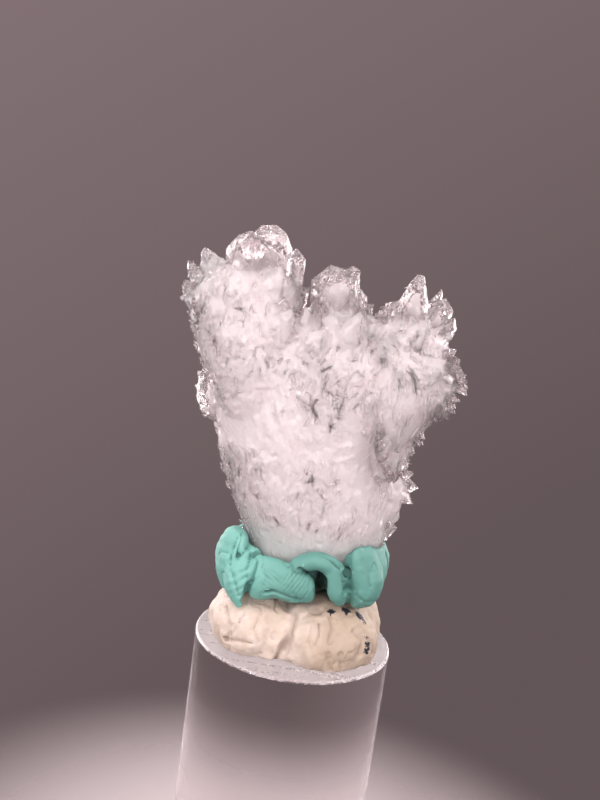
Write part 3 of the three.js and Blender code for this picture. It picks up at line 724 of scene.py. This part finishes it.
def teal_putty_material():
    """Soft teal putty: dull, with a fine tooth, paler on raised crowns, and painted light and
    shade: lighter on the left, darker towards the right, dark in its creases and near black in its
    pit.
    """
    s = Shader("putty_teal")
    blotch = s.noise(0.35, 3, 0.6)
    side = s.axis(s.at, "X")
    pointed = s.add("ShaderNodeNewGeometry").outputs["Pointiness"]
    # Painted shadow: the deep pit in the teal putty is coloured near black.
    pit_shade = s.vector("DISTANCE", s.vector("MULTIPLY", s.at, (1, 0.5, 0.6)), (2.2, -2.6, 29.9))
    pit_shade = s.maths("MULTIPLY_ADD", s.noise(1.6, 3, 0.6), 0.8, pit_shade)
    base = s.mix(blotch, (0.092, 0.262, 0.225), (0.15, 0.365, 0.315))
    for value, low, high, at_low, at_high, colour in (
        # Painted light: paler teal on the left side, where the light falls.
        (side, -6.5, -3, 0.6, 0, (0.165, 0.42, 0.365)),
        # Painted shade: darker teal towards the middle and right, away from the light.
        (side, -6, 1, 0, 0.5, (0.07, 0.205, 0.175)),
        # Painted shade: dark teal in the creases.
        (pointed, 0.42, 0.5, 0.75, 0, (0.025, 0.105, 0.085)),
        (pointed, 0.52, 0.6, 0, 0.5, (0.205, 0.45, 0.39)),
        (pit_shade, 1.2, 1.9, 0.92, 0, (0.008, 0.022, 0.02)),
    ):
        base = s.mix(s.range(value, low, high, at_low, at_high), base, colour)
    normal = s.bump(s.noise(2.4, 4, 0.65), 0.05, 0.5)
    normal = s.bump(s.noise(9, 2, 0.6), 0.015, 0.5, normal)
    s.scatter(0.15, (0.6, 1, 0.9), 0.6)
    return s.set(Base_Color=base, Roughness=s.range(blotch, 0.3, 0.7, 0.5, 0.68), Normal=normal,
                 Specular_IOR_Level=0.4)


def white_putty_material(ink_and_shadow_spots):
    """Old white putty: cream and slightly soiled, with painted shade in its creases and towards its
    right side, and dark smudges, some of ink and some painted shadow.
    """
    s = Shader("putty_white")
    blotch = s.noise(0.28, 4, 0.62)
    base = s.mix(s.range(blotch, 0.35, 0.65), (0.48, 0.4, 0.33), (0.56, 0.49, 0.43))
    streaked = s.range(s.noise(0.55, 3, 0.6, distortion=1.2), 0.56, 0.7, 0, 0.6)
    pointed = s.add("ShaderNodeNewGeometry").outputs["Pointiness"]
    stain = s.vector("DISTANCE", s.vector("MULTIPLY", s.at, (0.7, 1, 1)), (3, -9, 41.3))
    stained = s.maths("MULTIPLY", s.range(stain, 0.5, 2.8, 0.75, 0),
                      s.range(s.noise(0.9, 4, 0.6), 0.3, 0.6))
    side = s.maths("MULTIPLY_ADD", s.noise(0.4, 3), 5, s.axis(s.at, "X"))
    for share, colour in (
        (streaked, (0.385, 0.31, 0.295)),
        # Painted shade: darker in the creases.
        (s.range(pointed, 0.42, 0.495, 0.7, 0), (0.25, 0.19, 0.165)),
        (stained, (0.41, 0.31, 0.22)),
        # Painted shade: darker towards the right side, away from the light.
        (s.range(side, 1.5, 7.5, 0, 0.85), (0.35, 0.285, 0.215)),
    ):
        base = s.mix(share, base, colour)
    rough_edge = s.maths("MULTIPLY_ADD", s.noise(2.2, 4, 0.7), 1.6, -0.8)
    # Near-black spots: ink smudges, and painted shadow in the gap where the white putty meets the
    # teal.
    for spot, reach in ink_and_shadow_spots:
        gap = s.maths("ADD", s.vector("DISTANCE", s.at, spot), rough_edge)
        base = s.mix(s.range(gap, reach * 0.75, reach, 1, 0), base, (0.01, 0.01, 0.02))
    normal = s.bump(s.noise(1.6, 5, 0.65, distortion=0.8), 0.14, 0.6)
    normal = s.bump(s.noise(8, 2, 0.6), 0.015, 0.5, normal)
    s.scatter(0.2, (1, 0.8, 0.6), 0.8)
    return s.set(Base_Color=base, Roughness=0.62, Normal=normal, Specular_IOR_Level=0.4)


def acrylic_material():
    """Clear cast acrylic: a sawn and lightly sanded top, polished sides with faint streaks."""
    s = Shader("acrylic_clear")
    height = s.axis(s.at, "Z")
    facing = s.axis(s.add("ShaderNodeNewGeometry").outputs["Normal"], "Z")
    flat_top = s.range(facing, 0.5, 0.9)
    streaks = s.noise(1.4, 3, 0.6, at=s.mapped(s.at, Scale=(1, 1, 0.02)))
    saw_way = s.mapped(s.at, Rotation=(0, 0, 0.5), Scale=(0.06, 0.9, 1))
    saw = s.noise(1, 3, 0.55, at=saw_way)
    normal = s.bump(s.maths("MULTIPLY", saw, flat_top), 0.06, 0.8)
    on_side = s.maths("MULTIPLY", streaks, s.maths("SUBTRACT", 1, flat_top))
    normal = s.bump(on_side, 0.05, 0.3, normal)
    edge = s.maths("MULTIPLY", s.range(height, ROD_HEIGHT - 0.5, ROD_HEIGHT - 0.2),
                   s.range(s.noise(1.6, 3, 0.7), 0.4, 0.6))
    sanded = s.maths("MULTIPLY", flat_top, s.range(saw, 0.3, 0.7, 0.22, 0.42))
    rough = s.maths("MAXIMUM", sanded, s.maths("MULTIPLY", edge, 0.45))
    return s.set(Base_Color=(0.985, 0.965, 0.965), Roughness=s.maths("ADD", rough, 0.015),
                 Normal=normal, IOR=1.49, Transmission_Weight=1)


def keep(made, material, node):
    made.data.materials.clear()
    made.data.materials.append(material)
    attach(made, "root")
    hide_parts(node)


def keep_crystals(made, material):
    keep(made, material, "creedite_crystals")


CLEAR_DEPTH = 4.2


def is_clear(one):
    """Crystals whose tips stand in the group's middle depth are clear, the others milky."""
    return abs(one[1][1]) < CLEAR_DEPTH


milky = milky_crystal()
large_clear = clear_crystal("creedite_clear", 0.94, 0.15, 0.30)
rind_clear = clear_crystal("creedite_rind", 0.67, 0.05, 0.15, glow=1)
needle_clear = clear_crystal("creedite_needles", 0.50, 0.03, glow=1)
upper = CROWN_FRONT + LEFT_EDGE + CROWN_RIGHT + ON_LEFT_ARM + SPIRES + ON_OTHER_ARMS
fan = fan_crystals(3.2, (0.9, 1.5), 0.9, 20)
hanging = []
for tip in HANGING_TIPS:
    hanging += split((HANGING_AT, tip, 1.9, 1.1, 10, BLUNT), 2, 0.35, 0.1)


def shrunk(one, narrower, lower):
    """A crystal made thinner and shorter."""
    foot, tip, width, thick, turn, ridge = one
    foot, tip = np.array(foot, float), np.array(tip, float)
    length = np.linalg.norm(tip - foot)
    tip = tip - (tip - foot) / length * min(lower, 0.5 * length)
    return foot, tip, width * narrower, thick * narrower, turn, ridge


def all_shrunk(*groups):
    """Parts of groups of crystals, each with how much thinner and shorter they are made."""
    return [crystal(*shrunk(one, *less)) for crystals, *less in groups for one in crystals]


def is_on_fan(point):
    return (point[:, 0] > FAN_LEFT) & (point[:, 2] > FAN_LOWEST)


def skin_samples(count):
    """Points all over the group's rough body, with their outward and growth directions."""
    parts = rough_body(0, left_knob=-0.7, right_knob=-0.7) + all_shrunk((upper + fan, 0.95, 1))
    shell = remeshed("shell_guide", parts, voxel=0.5, relax=2)
    shell.data.calc_loop_triangles()
    corner = np.empty(3 * len(shell.data.loop_triangles), np.int32)
    shell.data.loop_triangles.foreach_get("vertices", corner)
    corner = corner.reshape(-1, 3)
    at, out = points_of(shell), normals_of(shell)
    a, b, c = at[corner[:, 0]], at[corner[:, 1]], at[corner[:, 2]]
    area = np.linalg.norm(np.cross(b - a, c - a), axis=1)
    chosen = rng.choice(len(corner), count, p=area / area.sum())
    u, v = rng.random(count), rng.random(count)
    flip = u + v > 1
    u[flip], v[flip] = 1 - u[flip], 1 - v[flip]
    point = a[chosen] + u[:, None] * (b - a)[chosen] + v[:, None] * (c - a)[chosen]
    outward = unit(out[corner[chosen]].mean(1))
    bpy.data.objects.remove(shell)
    best, growth = np.full(count, 1e9), np.zeros((count, 3))
    for spread, levels in MASSES.values():
        left, right, front, back = sides_at(levels, point[:, 2])
        x = (2 * point[:, 0] - left - right) / (right - left)
        y = (2 * point[:, 1] - front - back) / (back - front)
        off = np.abs(np.hypot(x, y) - 1) * 6
        off += np.maximum(levels[0][0] - point[:, 2], 0)
        off += np.maximum(point[:, 2] - levels[-1][0], 0)
        nearer = off < best
        best[nearer] = off[nearer]
        growth[nearer] = unit(point - np.array(spread))[nearer]
    on_fan = is_on_fan(point)
    growth[on_fan] = unit(point - np.array(FAN_SPREAD))[on_fan]
    return point, outward, growth


# No lath lies below the putty's rim, on the left knob or on the clear crown; the crown starts
# lower from left to right.
LATHS_FROM, KNOB_RIGHT, KNOB_TOP = 51.5, -13.8, 74.5
CROWN_STEPS, CROWN_STARTS = (-13.2, -4.5), (92, 87.5, 85)


def laths(count, width, length, rise, stray, sunk,
          patchy=0, under=0, fan_only=False, below=99):
    """Small crystals on the skin: along the growth, strayed in its plane, tips a little up."""
    point, outward, growth = skin_samples(count)
    x, z = point[:, 0], point[:, 2]
    crowded = value_noise(point, 4.5, 51) + rng.uniform(-0.5, 0.5, len(z)) > 2 * patchy - 1.5
    highest = np.select([x < step for step in CROWN_STEPS], CROWN_STARTS[:2], CROWN_STARTS[2])
    crown = z + 4 * rng.random(len(z)) > highest
    on_fan = is_on_fan(point)
    on_knob = (x < KNOB_RIGHT) & (z < KNOB_TOP)
    kept = (z > LATHS_FROM) & (z < below) & crowded & ~crown & (on_fan | (not fan_only)) & ~on_knob
    point, outward, growth, z, on_fan = (v[kept] for v in (point, outward, growth, z, on_fan))
    n = len(point)
    flat = square_to(outward, rng.normal(size=(n, 3)))
    along = square_to(outward, growth)
    # They stray less low on the trunk and on the fan.
    astray = stray * np.interp(z, [55, 66], [0.35, 1]) * rng.random(n)
    astray *= np.where(on_fan, 0.45, 1)
    axis = unit(along + astray[:, None] * flat + rng.uniform(*rise, n)[:, None] * outward)
    facing = unit(outward + 0.5 * rng.normal(size=(n, 3)))
    w = width[0] + (width[1] - width[0]) * rng.random(n) ** 2
    reach = length[0] + (length[1] - length[0]) * rng.random(n) ** 1.5
    thick = w * rng.uniform(0.4, 0.75, n)
    foot = point - 0.5 * reach[:, None] * axis - (sunk * thick + under)[:, None] * outward
    return many_crystals(foot, axis, facing, reach, w, thick, w * rng.uniform(0, 0.8, n))


def veils(crystals):
    """Milky flecks inside the clear crystals, where they healed as they grew."""
    made = []
    for foot, tip, width, thick, turn, _ in crystals:
        foot, tip = np.array(foot, float), np.array(tip, float)
        along = tip - foot
        across, through = (v[0] for v in crystal_basis(unit(along), turn))
        for _ in range(round(18 * width)):
            at = tip - along * rng.uniform(0.1, 0.6)
            at = at + across * rng.uniform(-0.3, 0.3) * width
            at = at + through * rng.uniform(-0.25, 0.25) * thick
            reach = unit(rng.normal(size=3)) * rng.uniform(0.15, 0.6)
            sizes = rng.uniform(0.06, 0.25), rng.uniform(0.04, 0.1), rng.uniform(0, 180)
            made.append((at, at + reach, *sizes, LOW))
    return made


def joined(crystals):
    return together(crystal(*one) for one in crystals)


ARM_TIPS_FROM, ARM_TIPS_FULL = 82, 87


def roughened(made, coarse, fine, tips=0):
    """Moves a skin in and out by smooth noise, more on the arms' tips, so none of it is flat."""
    at = points_of(made)
    share = (at[:, 2] - ARM_TIPS_FROM) / (ARM_TIPS_FULL - ARM_TIPS_FROM)
    more = 1 + tips * np.clip(share, 0, 1)
    uneven = noises(at, (coarse, 1.3, 3), (fine, 0.55, 4)) * more
    set_points(made, at + normals_of(made) * uneven[:, None])
    return made


def bevelled(made, width):
    """Cuts a narrow face along every edge, which catches the light."""
    cut = made.modifiers.new("edges", "BEVEL")
    cut.width = width * MM
    cut.segments = 1
    cut.limit_method = "ANGLE"
    cut.angle_limit = math.radians(15)
    return applied(made)


def bundles(crystals, narrower, lower, *thinned):
    """Each crystal made thinner and shorter, then split into a bundle."""
    return [thin for one in crystals for thin in split(shrunk(one, narrower, lower), *thinned)]


crown_blades = CROWN_FRONT + CROWN_RIGHT
small_clear = [one for one in ON_OTHER_ARMS if is_clear(one)]
crisp = crown_blades + SPIRES + small_clear
fused = ON_LEFT_ARM + [one for one in ON_OTHER_ARMS if not is_clear(one)]
left_edge = bundles(LEFT_EDGE, 0.9, 0, 6, 0.6, 0.3)
crown_core = bundles(crown_blades, 0.45, 1.8, 9, 1.1, 0.5) + bundles(SPIRES, 0.5, 1.2, 8, 1, 0.3)
core = rough_body(0.7, left_knob=0.8, right_knob=0.9, right_arm=0.35)
core += all_shrunk((fused, 0.72, 1.4), (hanging, 0.8, 1.2), (fan, 0.8, 1.5),
                   (left_edge, 0.6, 1.8), (crown_core, 1, 0), (small_clear, 0.88, 2))
core.append(laths(5200, width=(0.5, 1.4), length=(1.4, 3.2), rise=(-0.15, 0.08), stray=1.4,
                  sunk=0.5, under=0.75, below=80))
core = roughened(remeshed("milky_core", core, voxel=0.3, relax=1), 0.06, 0.04, tips=4)
keep_crystals(core, milky)

medium = [one for one in medium_crystals() if one[1][0] > KNOB_RIGHT or one[1][2] > 75]
rind = rough_body(0.15, left_knob=1.4, right_knob=-0.5)
rind += [crystal(*(one if is_clear(one) else shrunk(one, 0.9, 0.5))) for one in fused]
rind += all_shrunk((crisp + hanging, 0.9, 3), (left_edge, 0.95, 1.5),
                   (RIGHT_KNOB_TIPS, 0.95, 1.4), (fan, 0.95, 1.3), (medium, 0.9, 0.5))
rind.append(laths(9500, width=(0.3, 1), length=(1.2, 3.4), rise=(-0.08, 0.06), stray=1.4,
                  sunk=0.42, patchy=0.72))
rind = remeshed("crystal_rind", rind, voxel=0.2, relax=1, most=180000)
rind = roughened(rind, 0.04, 0.02, tips=2.5)
keep_crystals(rind, rind_clear)
knob = [mass_body("left_knob", -0.7)] + all_shrunk((LEFT_KNOB_TIPS, 1.1, 0.7))
knob = roughened(remeshed("crystal_knob", knob, voxel=0.2, relax=1), 0.14, 0.08)
keep_crystals(knob, large_clear)
for smooth_piece in (rind, knob):
    smooth_piece.data.set_sharp_from_angle(angle=math.radians(28))

thin_blades = fan_crystals(2, (0.5, 1), 1.6, 50)
fringe = []
for edge in (
    ("trunk", -1, 53, 67.5, 0.5), ("trunk", 1, 53, 57, 0.6),
    ("left_arm", -1, 73, 84, 0.45), ("left_arm", 1, 80, 85, 0.6),
):
    fringe += rim_blades(*edge)
blades = crisp + hanging + left_edge + RIGHT_KNOB_TIPS + fan + thin_blades + fringe
keep_crystals(bevelled(new_object("crystals_large", *joined(blades)), 0.07), large_clear)
keep_crystals(new_object("crystals_veils", *joined(veils(crisp + left_edge))), milky)
fan_needles = laths(1500, width=(0.2, 0.45), length=(1.2, 3), rise=(-0.01, 0.05), stray=1,
                    sunk=-0.1, fan_only=True, below=82)
keep_crystals(new_object("crystals_fan", *fan_needles), needle_clear)
needles = laths(9500, width=(0.15, 0.38), length=(0.6, 1.9), rise=(-0.02, 0.06), stray=1.5,
                sunk=-0.1, patchy=0.9)
keep_crystals(new_object("crystals_fine", *needles), needle_clear)


def fold_part(path):
    """A fold of putty along a path of TEAL_FOLDS."""
    smooth = catmull_rom(path, 8)
    centre, (depth, breadth) = smooth[:, :3], np.maximum(smooth[:, 3:], 0.05).T
    along = unit(np.gradient(centre, axis=0))
    outward = square_to(along, centre * [1, 1, 0])
    sideways = np.cross(along, outward)
    across, through = circle(20)
    return loft([c + np.outer(across * d, o) + np.outer(through * w, s)
                 for c, d, w, o, s in zip(centre, depth, breadth, outward, sideways)])


def lump_part(at, size):
    """An ellipsoid of putty."""
    across, through = circle(32)
    rings = []
    for tilt in np.linspace(0.02, math.pi - 0.02, 20):
        low = np.full(len(across), -np.cos(tilt))
        ring = np.stack([np.sin(tilt) * across, np.sin(tilt) * through, low], 1)
        rings.append(np.array(at) + ring * size)
    return loft(rings)


def creased(made, grooves, across=0.15):
    """Presses grooves into a piece, each a line with a depth and a width.

    With a low share across, the lines may lie off its skin in y.
    """
    flattened = np.array([1, across, 1])
    for line, depth, width in grooves:
        at = points_of(made)
        gap = distance_to_line(at * flattened, np.array(line) * flattened)
        push = depth * np.exp(-((gap / width) ** 2))
        set_points(made, at - normals_of(made) * push[:, None])


def wrinkles(at, size, seed, width):
    """Fine winding creases where a smooth noise crosses zero, on about half of a skin."""
    shows = np.clip(2.5 * value_noise(at, 2.5 * size, seed + 1) + 0.5, 0, 1)
    return shows * np.exp(-((value_noise(at, size, seed) / width) ** 2))


def ridges(at, centre, reach, across, pitch):
    """Fine parallel ridges on a patch of a skin; across is the way that crosses them."""
    near = np.exp(-(np.linalg.norm((at - centre) / reach, axis=1) ** 4))
    return near * np.sin(TURN * (at @ np.array(across)) / pitch)


teal_parts = [fold_part(path) for path in TEAL_FOLDS]
teal_parts += [lump_part(*TEAL_PAD), lump_part(*TEAL_FILL)]
teal = remeshed("teal_putty_folds", teal_parts, voxel=0.14, relax=5)
creased(teal, [
    ([(-5.9, -7.2, 51.9), (-6.2, -7.6, 49.4), (-6.7, -7.4, 46.6)], 0.7, 0.3),
    ([(-9.1, -5, 51), (-8.9, -5, 52.6), (-8.5, -4.8, 54)], 0.4, 0.26),
    ([(-7.9, -5.5, 55), (-8.1, -5.8, 53.5), (-8.4, -6, 52)], 0.5, 0.22),
    ([(-8.2, -6.2, 51.9), (-7.6, -6.3, 52.6), (-6.5, -6.2, 53), (-5.5, -6.2, 53.2)], 0.6, 0.2),
    ([(-8.6, -6.6, 50.2), (-7.9, -6.9, 48.8), (-7.4, -7, 47.6)], 0.25, 0.25),
    ([(-0.3, -7.6, 54.4), (1.8, -8, 54.4), (3.2, -7.9, 53.9), (4.4, -7.8, 52.9)], 0.4, 0.16),
    ([(5.1, -7.2, 52.1), (5.4, -7.2, 51), (5.6, -7, 49.9)], 1.3, 0.32),
    ([(-4.2, -8, 48.5), (-3.2, -8.2, 48.9), (-1.8, -8.2, 48.6), (-0.3, -8.1, 48)], 0.8, 0.2),
    ([(-0.5, -8, 52.1), (0.5, -8.1, 51.6), (1.8, -8, 51.7)], 0.7, 0.24),
    ([(2.3, -7.2, 51), (2.4, -7, 49.6), (3.2, -7, 47.6)], 1.2, 0.42),
    ([(-5, -7.8, 51.6), (-4.4, -8, 50.4), (-4.6, -8, 49.2)], 0.15, 0.3),
    ([(7, -6.4, 53.8), (8, -6.2, 52.4), (8.4, -6.2, 50.8)], 0.15, 0.3),
    ([(6.6, -6.9, 49.4), (7.8, -6.6, 48.6), (9, -6, 48.4)], 0.15, 0.28),
])
creased(teal, [
    ([(-6.5, 8, 52.6), (-5.5, 8.5, 50), (-6.1, 8, 47.4)], 0.6, 0.35),
    ([(-1.4, 9, 52.9), (-2.5, 8.9, 50.6), (-1.2, 8.8, 48)], 0.5, 0.3),
    ([(3, 8.8, 52.9), (4.4, 8.2, 50.2), (3.5, 8.4, 47.4)], 0.6, 0.35),
    ([(-4.6, 8.4, 48.8), (-1, 9, 49.5), (2.6, 8.8, 48.9)], 0.4, 0.3),
    ([(10.2, -0.8, 53), (10.6, 0.3, 50.4), (10, -0.5, 47.6)], 0.6, 0.35),
    ([(9.2, 4.8, 53), (9.3, 4.2, 50.4), (8.4, 5.6, 47.6)], 0.6, 0.35),
    ([(-10.4, 0.2, 52.6), (-10.9, 1.4, 50.2), (-10.2, 0.6, 47.6)], 0.6, 0.35),
    ([(-9.4, 5.2, 52.4), (-9.6, 4.4, 50.2), (-8.6, 5.6, 47.6)], 0.5, 0.35),
], across=1)
at, out = points_of(teal), normals_of(teal)
relief = noises(at, (0.16, 1.9, 21), (0.07, 0.8, 22), (0.025, 0.4, 23))
relief -= 0.11 * wrinkles(at * [1, 1, 0.6], 1.9, 24, 0.05)
relief += 0.6 * np.clip((at[:, 1] + 1) / 4, 0, 1) * value_noise(at, 3.4, 27)
for height, *patch in (
    (0.055, (-1.1, -8, 50.6), (1.9, 2.5, 1.4), (0.87, 0, -0.5), 0.46),
    (0.03, (-3.7, -8, 50.2), (1.3, 2.5, 1.4), (0.5, 0, 0.87), 0.5),
    (0.05, (-7.7, -7, 49.6), (1.6, 2.5, 2.2), (-0.6, 0, 0.8), 0.85),
):
    relief += height * ridges(at, *patch)
set_points(teal, at + out * relief[:, None])
keep(teal, teal_putty_material(), "teal_putty")

white = [lump_part(*lump) for lump in WHITE_LUMPS]
white = remeshed("white_putty_mound", white, voxel=0.16, relax=12)
creased(white, [
    ([(-0.3, -6.9, 45.6), (-0.6, -7.9, 43.4), (-1.4, -8, 40.8), (-1.8, -7.7, 39.8)], 0.7, 0.36),
    ([(2.7, -7.6, 45.4), (3, -8.6, 44.3), (2.6, -9.1, 43.2)], 0.28, 0.22),
    ([(4, -6.6, 46.1), (4.6, -7.8, 45.2), (4.4, -8.8, 43.8)], 0.3, 0.22),
    ([(4.3, -9.3, 42.4), (4.9, -9, 40.2)], 0.3, 0.24),
    ([(5.9, -8.9, 42.4), (6.4, -8.6, 40.4)], 0.28, 0.22),
    ([(7.1, -6.9, 44.9), (8.3, -7, 43.7), (8.4, -7.6, 42.1)], 0.4, 0.28),
    ([(1.9, -8, 44.9), (1.5, -8.8, 43.5), (2.2, -9.2, 42.8)], 0.2, 0.22),
    ([(-8.4, -7.2, 41.4), (-7.4, -7.5, 43.6), (-7, -7.4, 44.2)], 0.28, 0.22),
    ([(-8.4, -7.2, 41.4), (-6.7, -8.2, 41.9), (-5, -8.4, 42.1)], 0.28, 0.22),
    ([(-8.8, -5.8, 44.8), (-8.2, -6.9, 43.4), (-8.8, -6.9, 42.6)], 0.25, 0.3),
    ([(-4.4, -8, 45.6), (-4.9, -8.4, 43.8), (-4.2, -8.4, 42.4)], 0.18, 0.3),
    ([(0.7, -6.5, 45.7), (1.6, -6.4, 46.2), (2.6, -6, 46.4)], 0.35, 0.26),
    ([(8.8, 6, 45), (6.6, 8, 43.4), (4, 8.8, 42)], 0.3, 0.35),
    ([(-7.6, 6, 45.6), (-4.6, 8.8, 43.4), (-1, 9, 41.6)], 0.3, 0.35),
    ([(-10.6, 1, 44.6), (-10.4, 3.6, 43), (-8.8, 6, 41.8)], 0.3, 0.35),
])
at, out = points_of(white), normals_of(white)
relief = noises(at, (0.35, 2.6, 31), (0.16, 1.2, 32), (0.07, 0.55, 33))
folded = 0.22 * wrinkles(at * [1, 1, 0.4], 1.7, 34, 0.06)
relief -= folded + 0.12 * wrinkles(at * [1, 1, 0.6], 0.9, 36, 0.07)
at += out * relief[:, None]
at[:, 2] = np.maximum(at[:, 2], ROD_HEIGHT + HAIR)
set_points(white, at)
# Ink smudges, and spots of painted shadow in the gap between the white and the teal putty.
ink_and_shadow = [
    ((7.7, -4.5, 45.9), 0.8), ((8.1, -4.8, 45.3), 0.55), ((9, -6.4, 43.2), 0.45),
    ((9.2, -6.8, 42.5), 0.52), ((8.8, -6.2, 44), 0.25), ((5.9, -4.8, 46.5), 0.7),
    ((4.1, -5.8, 46.4), 0.55), ((-0.2, -6.6, 45.8), 0.3),
]
keep(white, white_putty_material(ink_and_shadow), "white_putty")


def rod():
    """The rod with a finely chipped top rim."""
    sides = 720
    across, through = circle(sides)
    none = np.zeros(sides)
    ring = np.stack([across, through, none], 1)
    chip = np.clip(noises(ring * ROD_RADIUS, (0.6, 0.35, 41), (0.5, 1.3, 42)), 0, 1)
    angle = TURN * np.arange(sides) / sides
    front_right = 0.35 + 0.65 * np.clip(np.cos(angle + math.radians(50)), 0, 1)
    chip = 0.30 * chip * front_right
    levels = ((0.3, 0), (0.1, 0.05), (0, 0.3), (0, 0.32),
              (0, ROD_HEIGHT - 0.4), (0, ROD_HEIGHT - 0.28))
    rings = [ring * (ROD_RADIUS - inward) + [0, 0, z] for inward, z in levels]
    lowered = np.stack([none, none, ROD_HEIGHT - 0.12 - 0.4 * chip], 1)
    rings.append(ring * (ROD_RADIUS - 0.05 - 0.5 * chip)[:, None] + lowered)
    rings.append(ring * (ROD_RADIUS - 0.22 - chip)[:, None] + [0, 0, ROD_HEIGHT])
    rings.append(ring * (ROD_RADIUS - 0.75) + [0, 0, ROD_HEIGHT])
    return loft(rings)


rod_piece = new_object("rod_body", *rod())
keep(rod_piece, acrylic_material(), "acrylic_rod")
for polygon in rod_piece.data.polygons:
    polygon.use_smooth = abs(polygon.normal.z) < 0.05

scene = bpy.context.scene


def floor():
    """A pale disc that fades out towards its rim."""
    radii, sides, fade = (15, 30, 45, 60, 80), 96, (18, 62)
    across, through = circle(sides)
    rings = [np.stack([across, through, np.zeros(sides)], 1) * radius for radius in radii]
    faces = [(0, 1 + i, 1 + (i + 1) % sides) for i in range(sides)]
    for a in range(1, 1 + sides * (len(radii) - 1)):
        b = a + 1 if a % sides else a + 1 - sides
        faces.append((a, a + sides, b + sides, b))
    made = new_object("floor", np.concatenate([[(0, 0, 0)], *rings]), faces)
    made.location.z = -HAIR * MM
    s = Shader("floor_pale")
    s.set(Base_Color=(0.42, 0.375, 0.38), Roughness=0.8)
    blend = s.add("ShaderNodeMixShader", Fac=s.range(s.vector("LENGTH", s.at), *fade))
    see_through = s.add("ShaderNodeBsdfTransparent")
    for i, shader in ((1, s.principled), (2, see_through)):
        s.plug(blend.inputs[i], shader.outputs[0])
    s.plug(s.tree.nodes["Material Output"].inputs["Surface"], blend.outputs[0])
    made.data.materials.append(s.material)


def world():
    """A plain backdrop, lighter towards the upper left."""
    made = bpy.data.worlds.new("backdrop")
    made.use_nodes = True
    tree = Nodes(made.node_tree)
    way = tree.add("ShaderNodeTexCoord").outputs["Generated"]
    lean = tree.maths("MULTIPLY_ADD", tree.axis(way, "X"), -0.75, tree.axis(way, "Z"))
    share = tree.range(lean, -0.45, 0.25, shape="LINEAR")
    colour = tree.mix(share, (0.125, 0.092, 0.097), (0.225, 0.165, 0.175))
    tree.plug(tree.tree.nodes["Background"].inputs["Color"], colour)
    scene.world = made


def area_light(name, at, size, power, colour):
    data = bpy.data.lights.new(name, "AREA")
    data.shape = "DISK"
    data.size = size
    data.energy = power
    data.color = colour
    made = bpy.data.objects.new(name, data)
    scene.collection.objects.link(made)
    made.location = at
    made.rotation_mode = "QUATERNION"
    made.rotation_quaternion = (Vector((0, 0, 0.06)) - Vector(at)).to_track_quat("-Z", "Y")
    made.visible_camera = False


floor()
world()
for light in (
    ("key", (-0.46, -0.55, 0.32), 0.95, 7.9, (1, 0.9, 0.905)),
    ("fill", (0.48, -0.52, 0.42), 0.9, 8.2, (1, 0.885, 0.89)),
    ("top", (0.05, 0.12, 0.75), 1.00, 2.2, (1, 0.92, 0.92)),
    ("rim_left", (-0.5, 0.52, 0.22), 0.8, 7.4, (1, 0.91, 0.915)),
    ("rim_right", (0.48, 0.54, 0.26), 0.8, 6.8, (1, 0.91, 0.915)),
    ("lamp", (-0.15, -0.3, 0.5), 0.07, 0.8, (1, 0.95, 0.95)),
):
    area_light(*light)

# The camera that matches the photo. Its focal length is in pixels, as is the photo's height.
FOCAL_PIXELS, PHOTO_PIXELS, SENSOR = 1195, 800, 36
CAMERA_AT = (-0.00327, -0.14192, 0.10561)
CAMERA_RIGHT = (0.9904, 0.0327, 0.1340)
CAMERA_UP = (-0.1379, 0.2350, 0.9621)
CAMERA_BACK = (0, -0.9714, 0.2373)
camera_data = bpy.data.cameras.new("camera")
camera_data.sensor_fit = "AUTO"
camera_data.sensor_width = SENSOR
camera_data.lens = SENSOR * FOCAL_PIXELS / PHOTO_PIXELS
camera_data.clip_start, camera_data.clip_end = 0.005, 10
camera = bpy.data.objects.new("camera", camera_data)
scene.collection.objects.link(camera)
turned = Matrix((CAMERA_RIGHT, CAMERA_UP, CAMERA_BACK)).transposed()
camera.matrix_world = Matrix.Translation(CAMERA_AT) @ turned.to_4x4()
scene.camera = camera

scene.view_settings.view_transform = "Standard"
cycles = scene.cycles
cycles.max_bounces = cycles.transmission_bounces = 40
cycles.glossy_bounces = 20
cycles.diffuse_bounces = cycles.transparent_max_bounces = 12
cycles.caustics_reflective = False
cycles.caustics_refractive = True
cycles.sample_clamp_indirect = 10
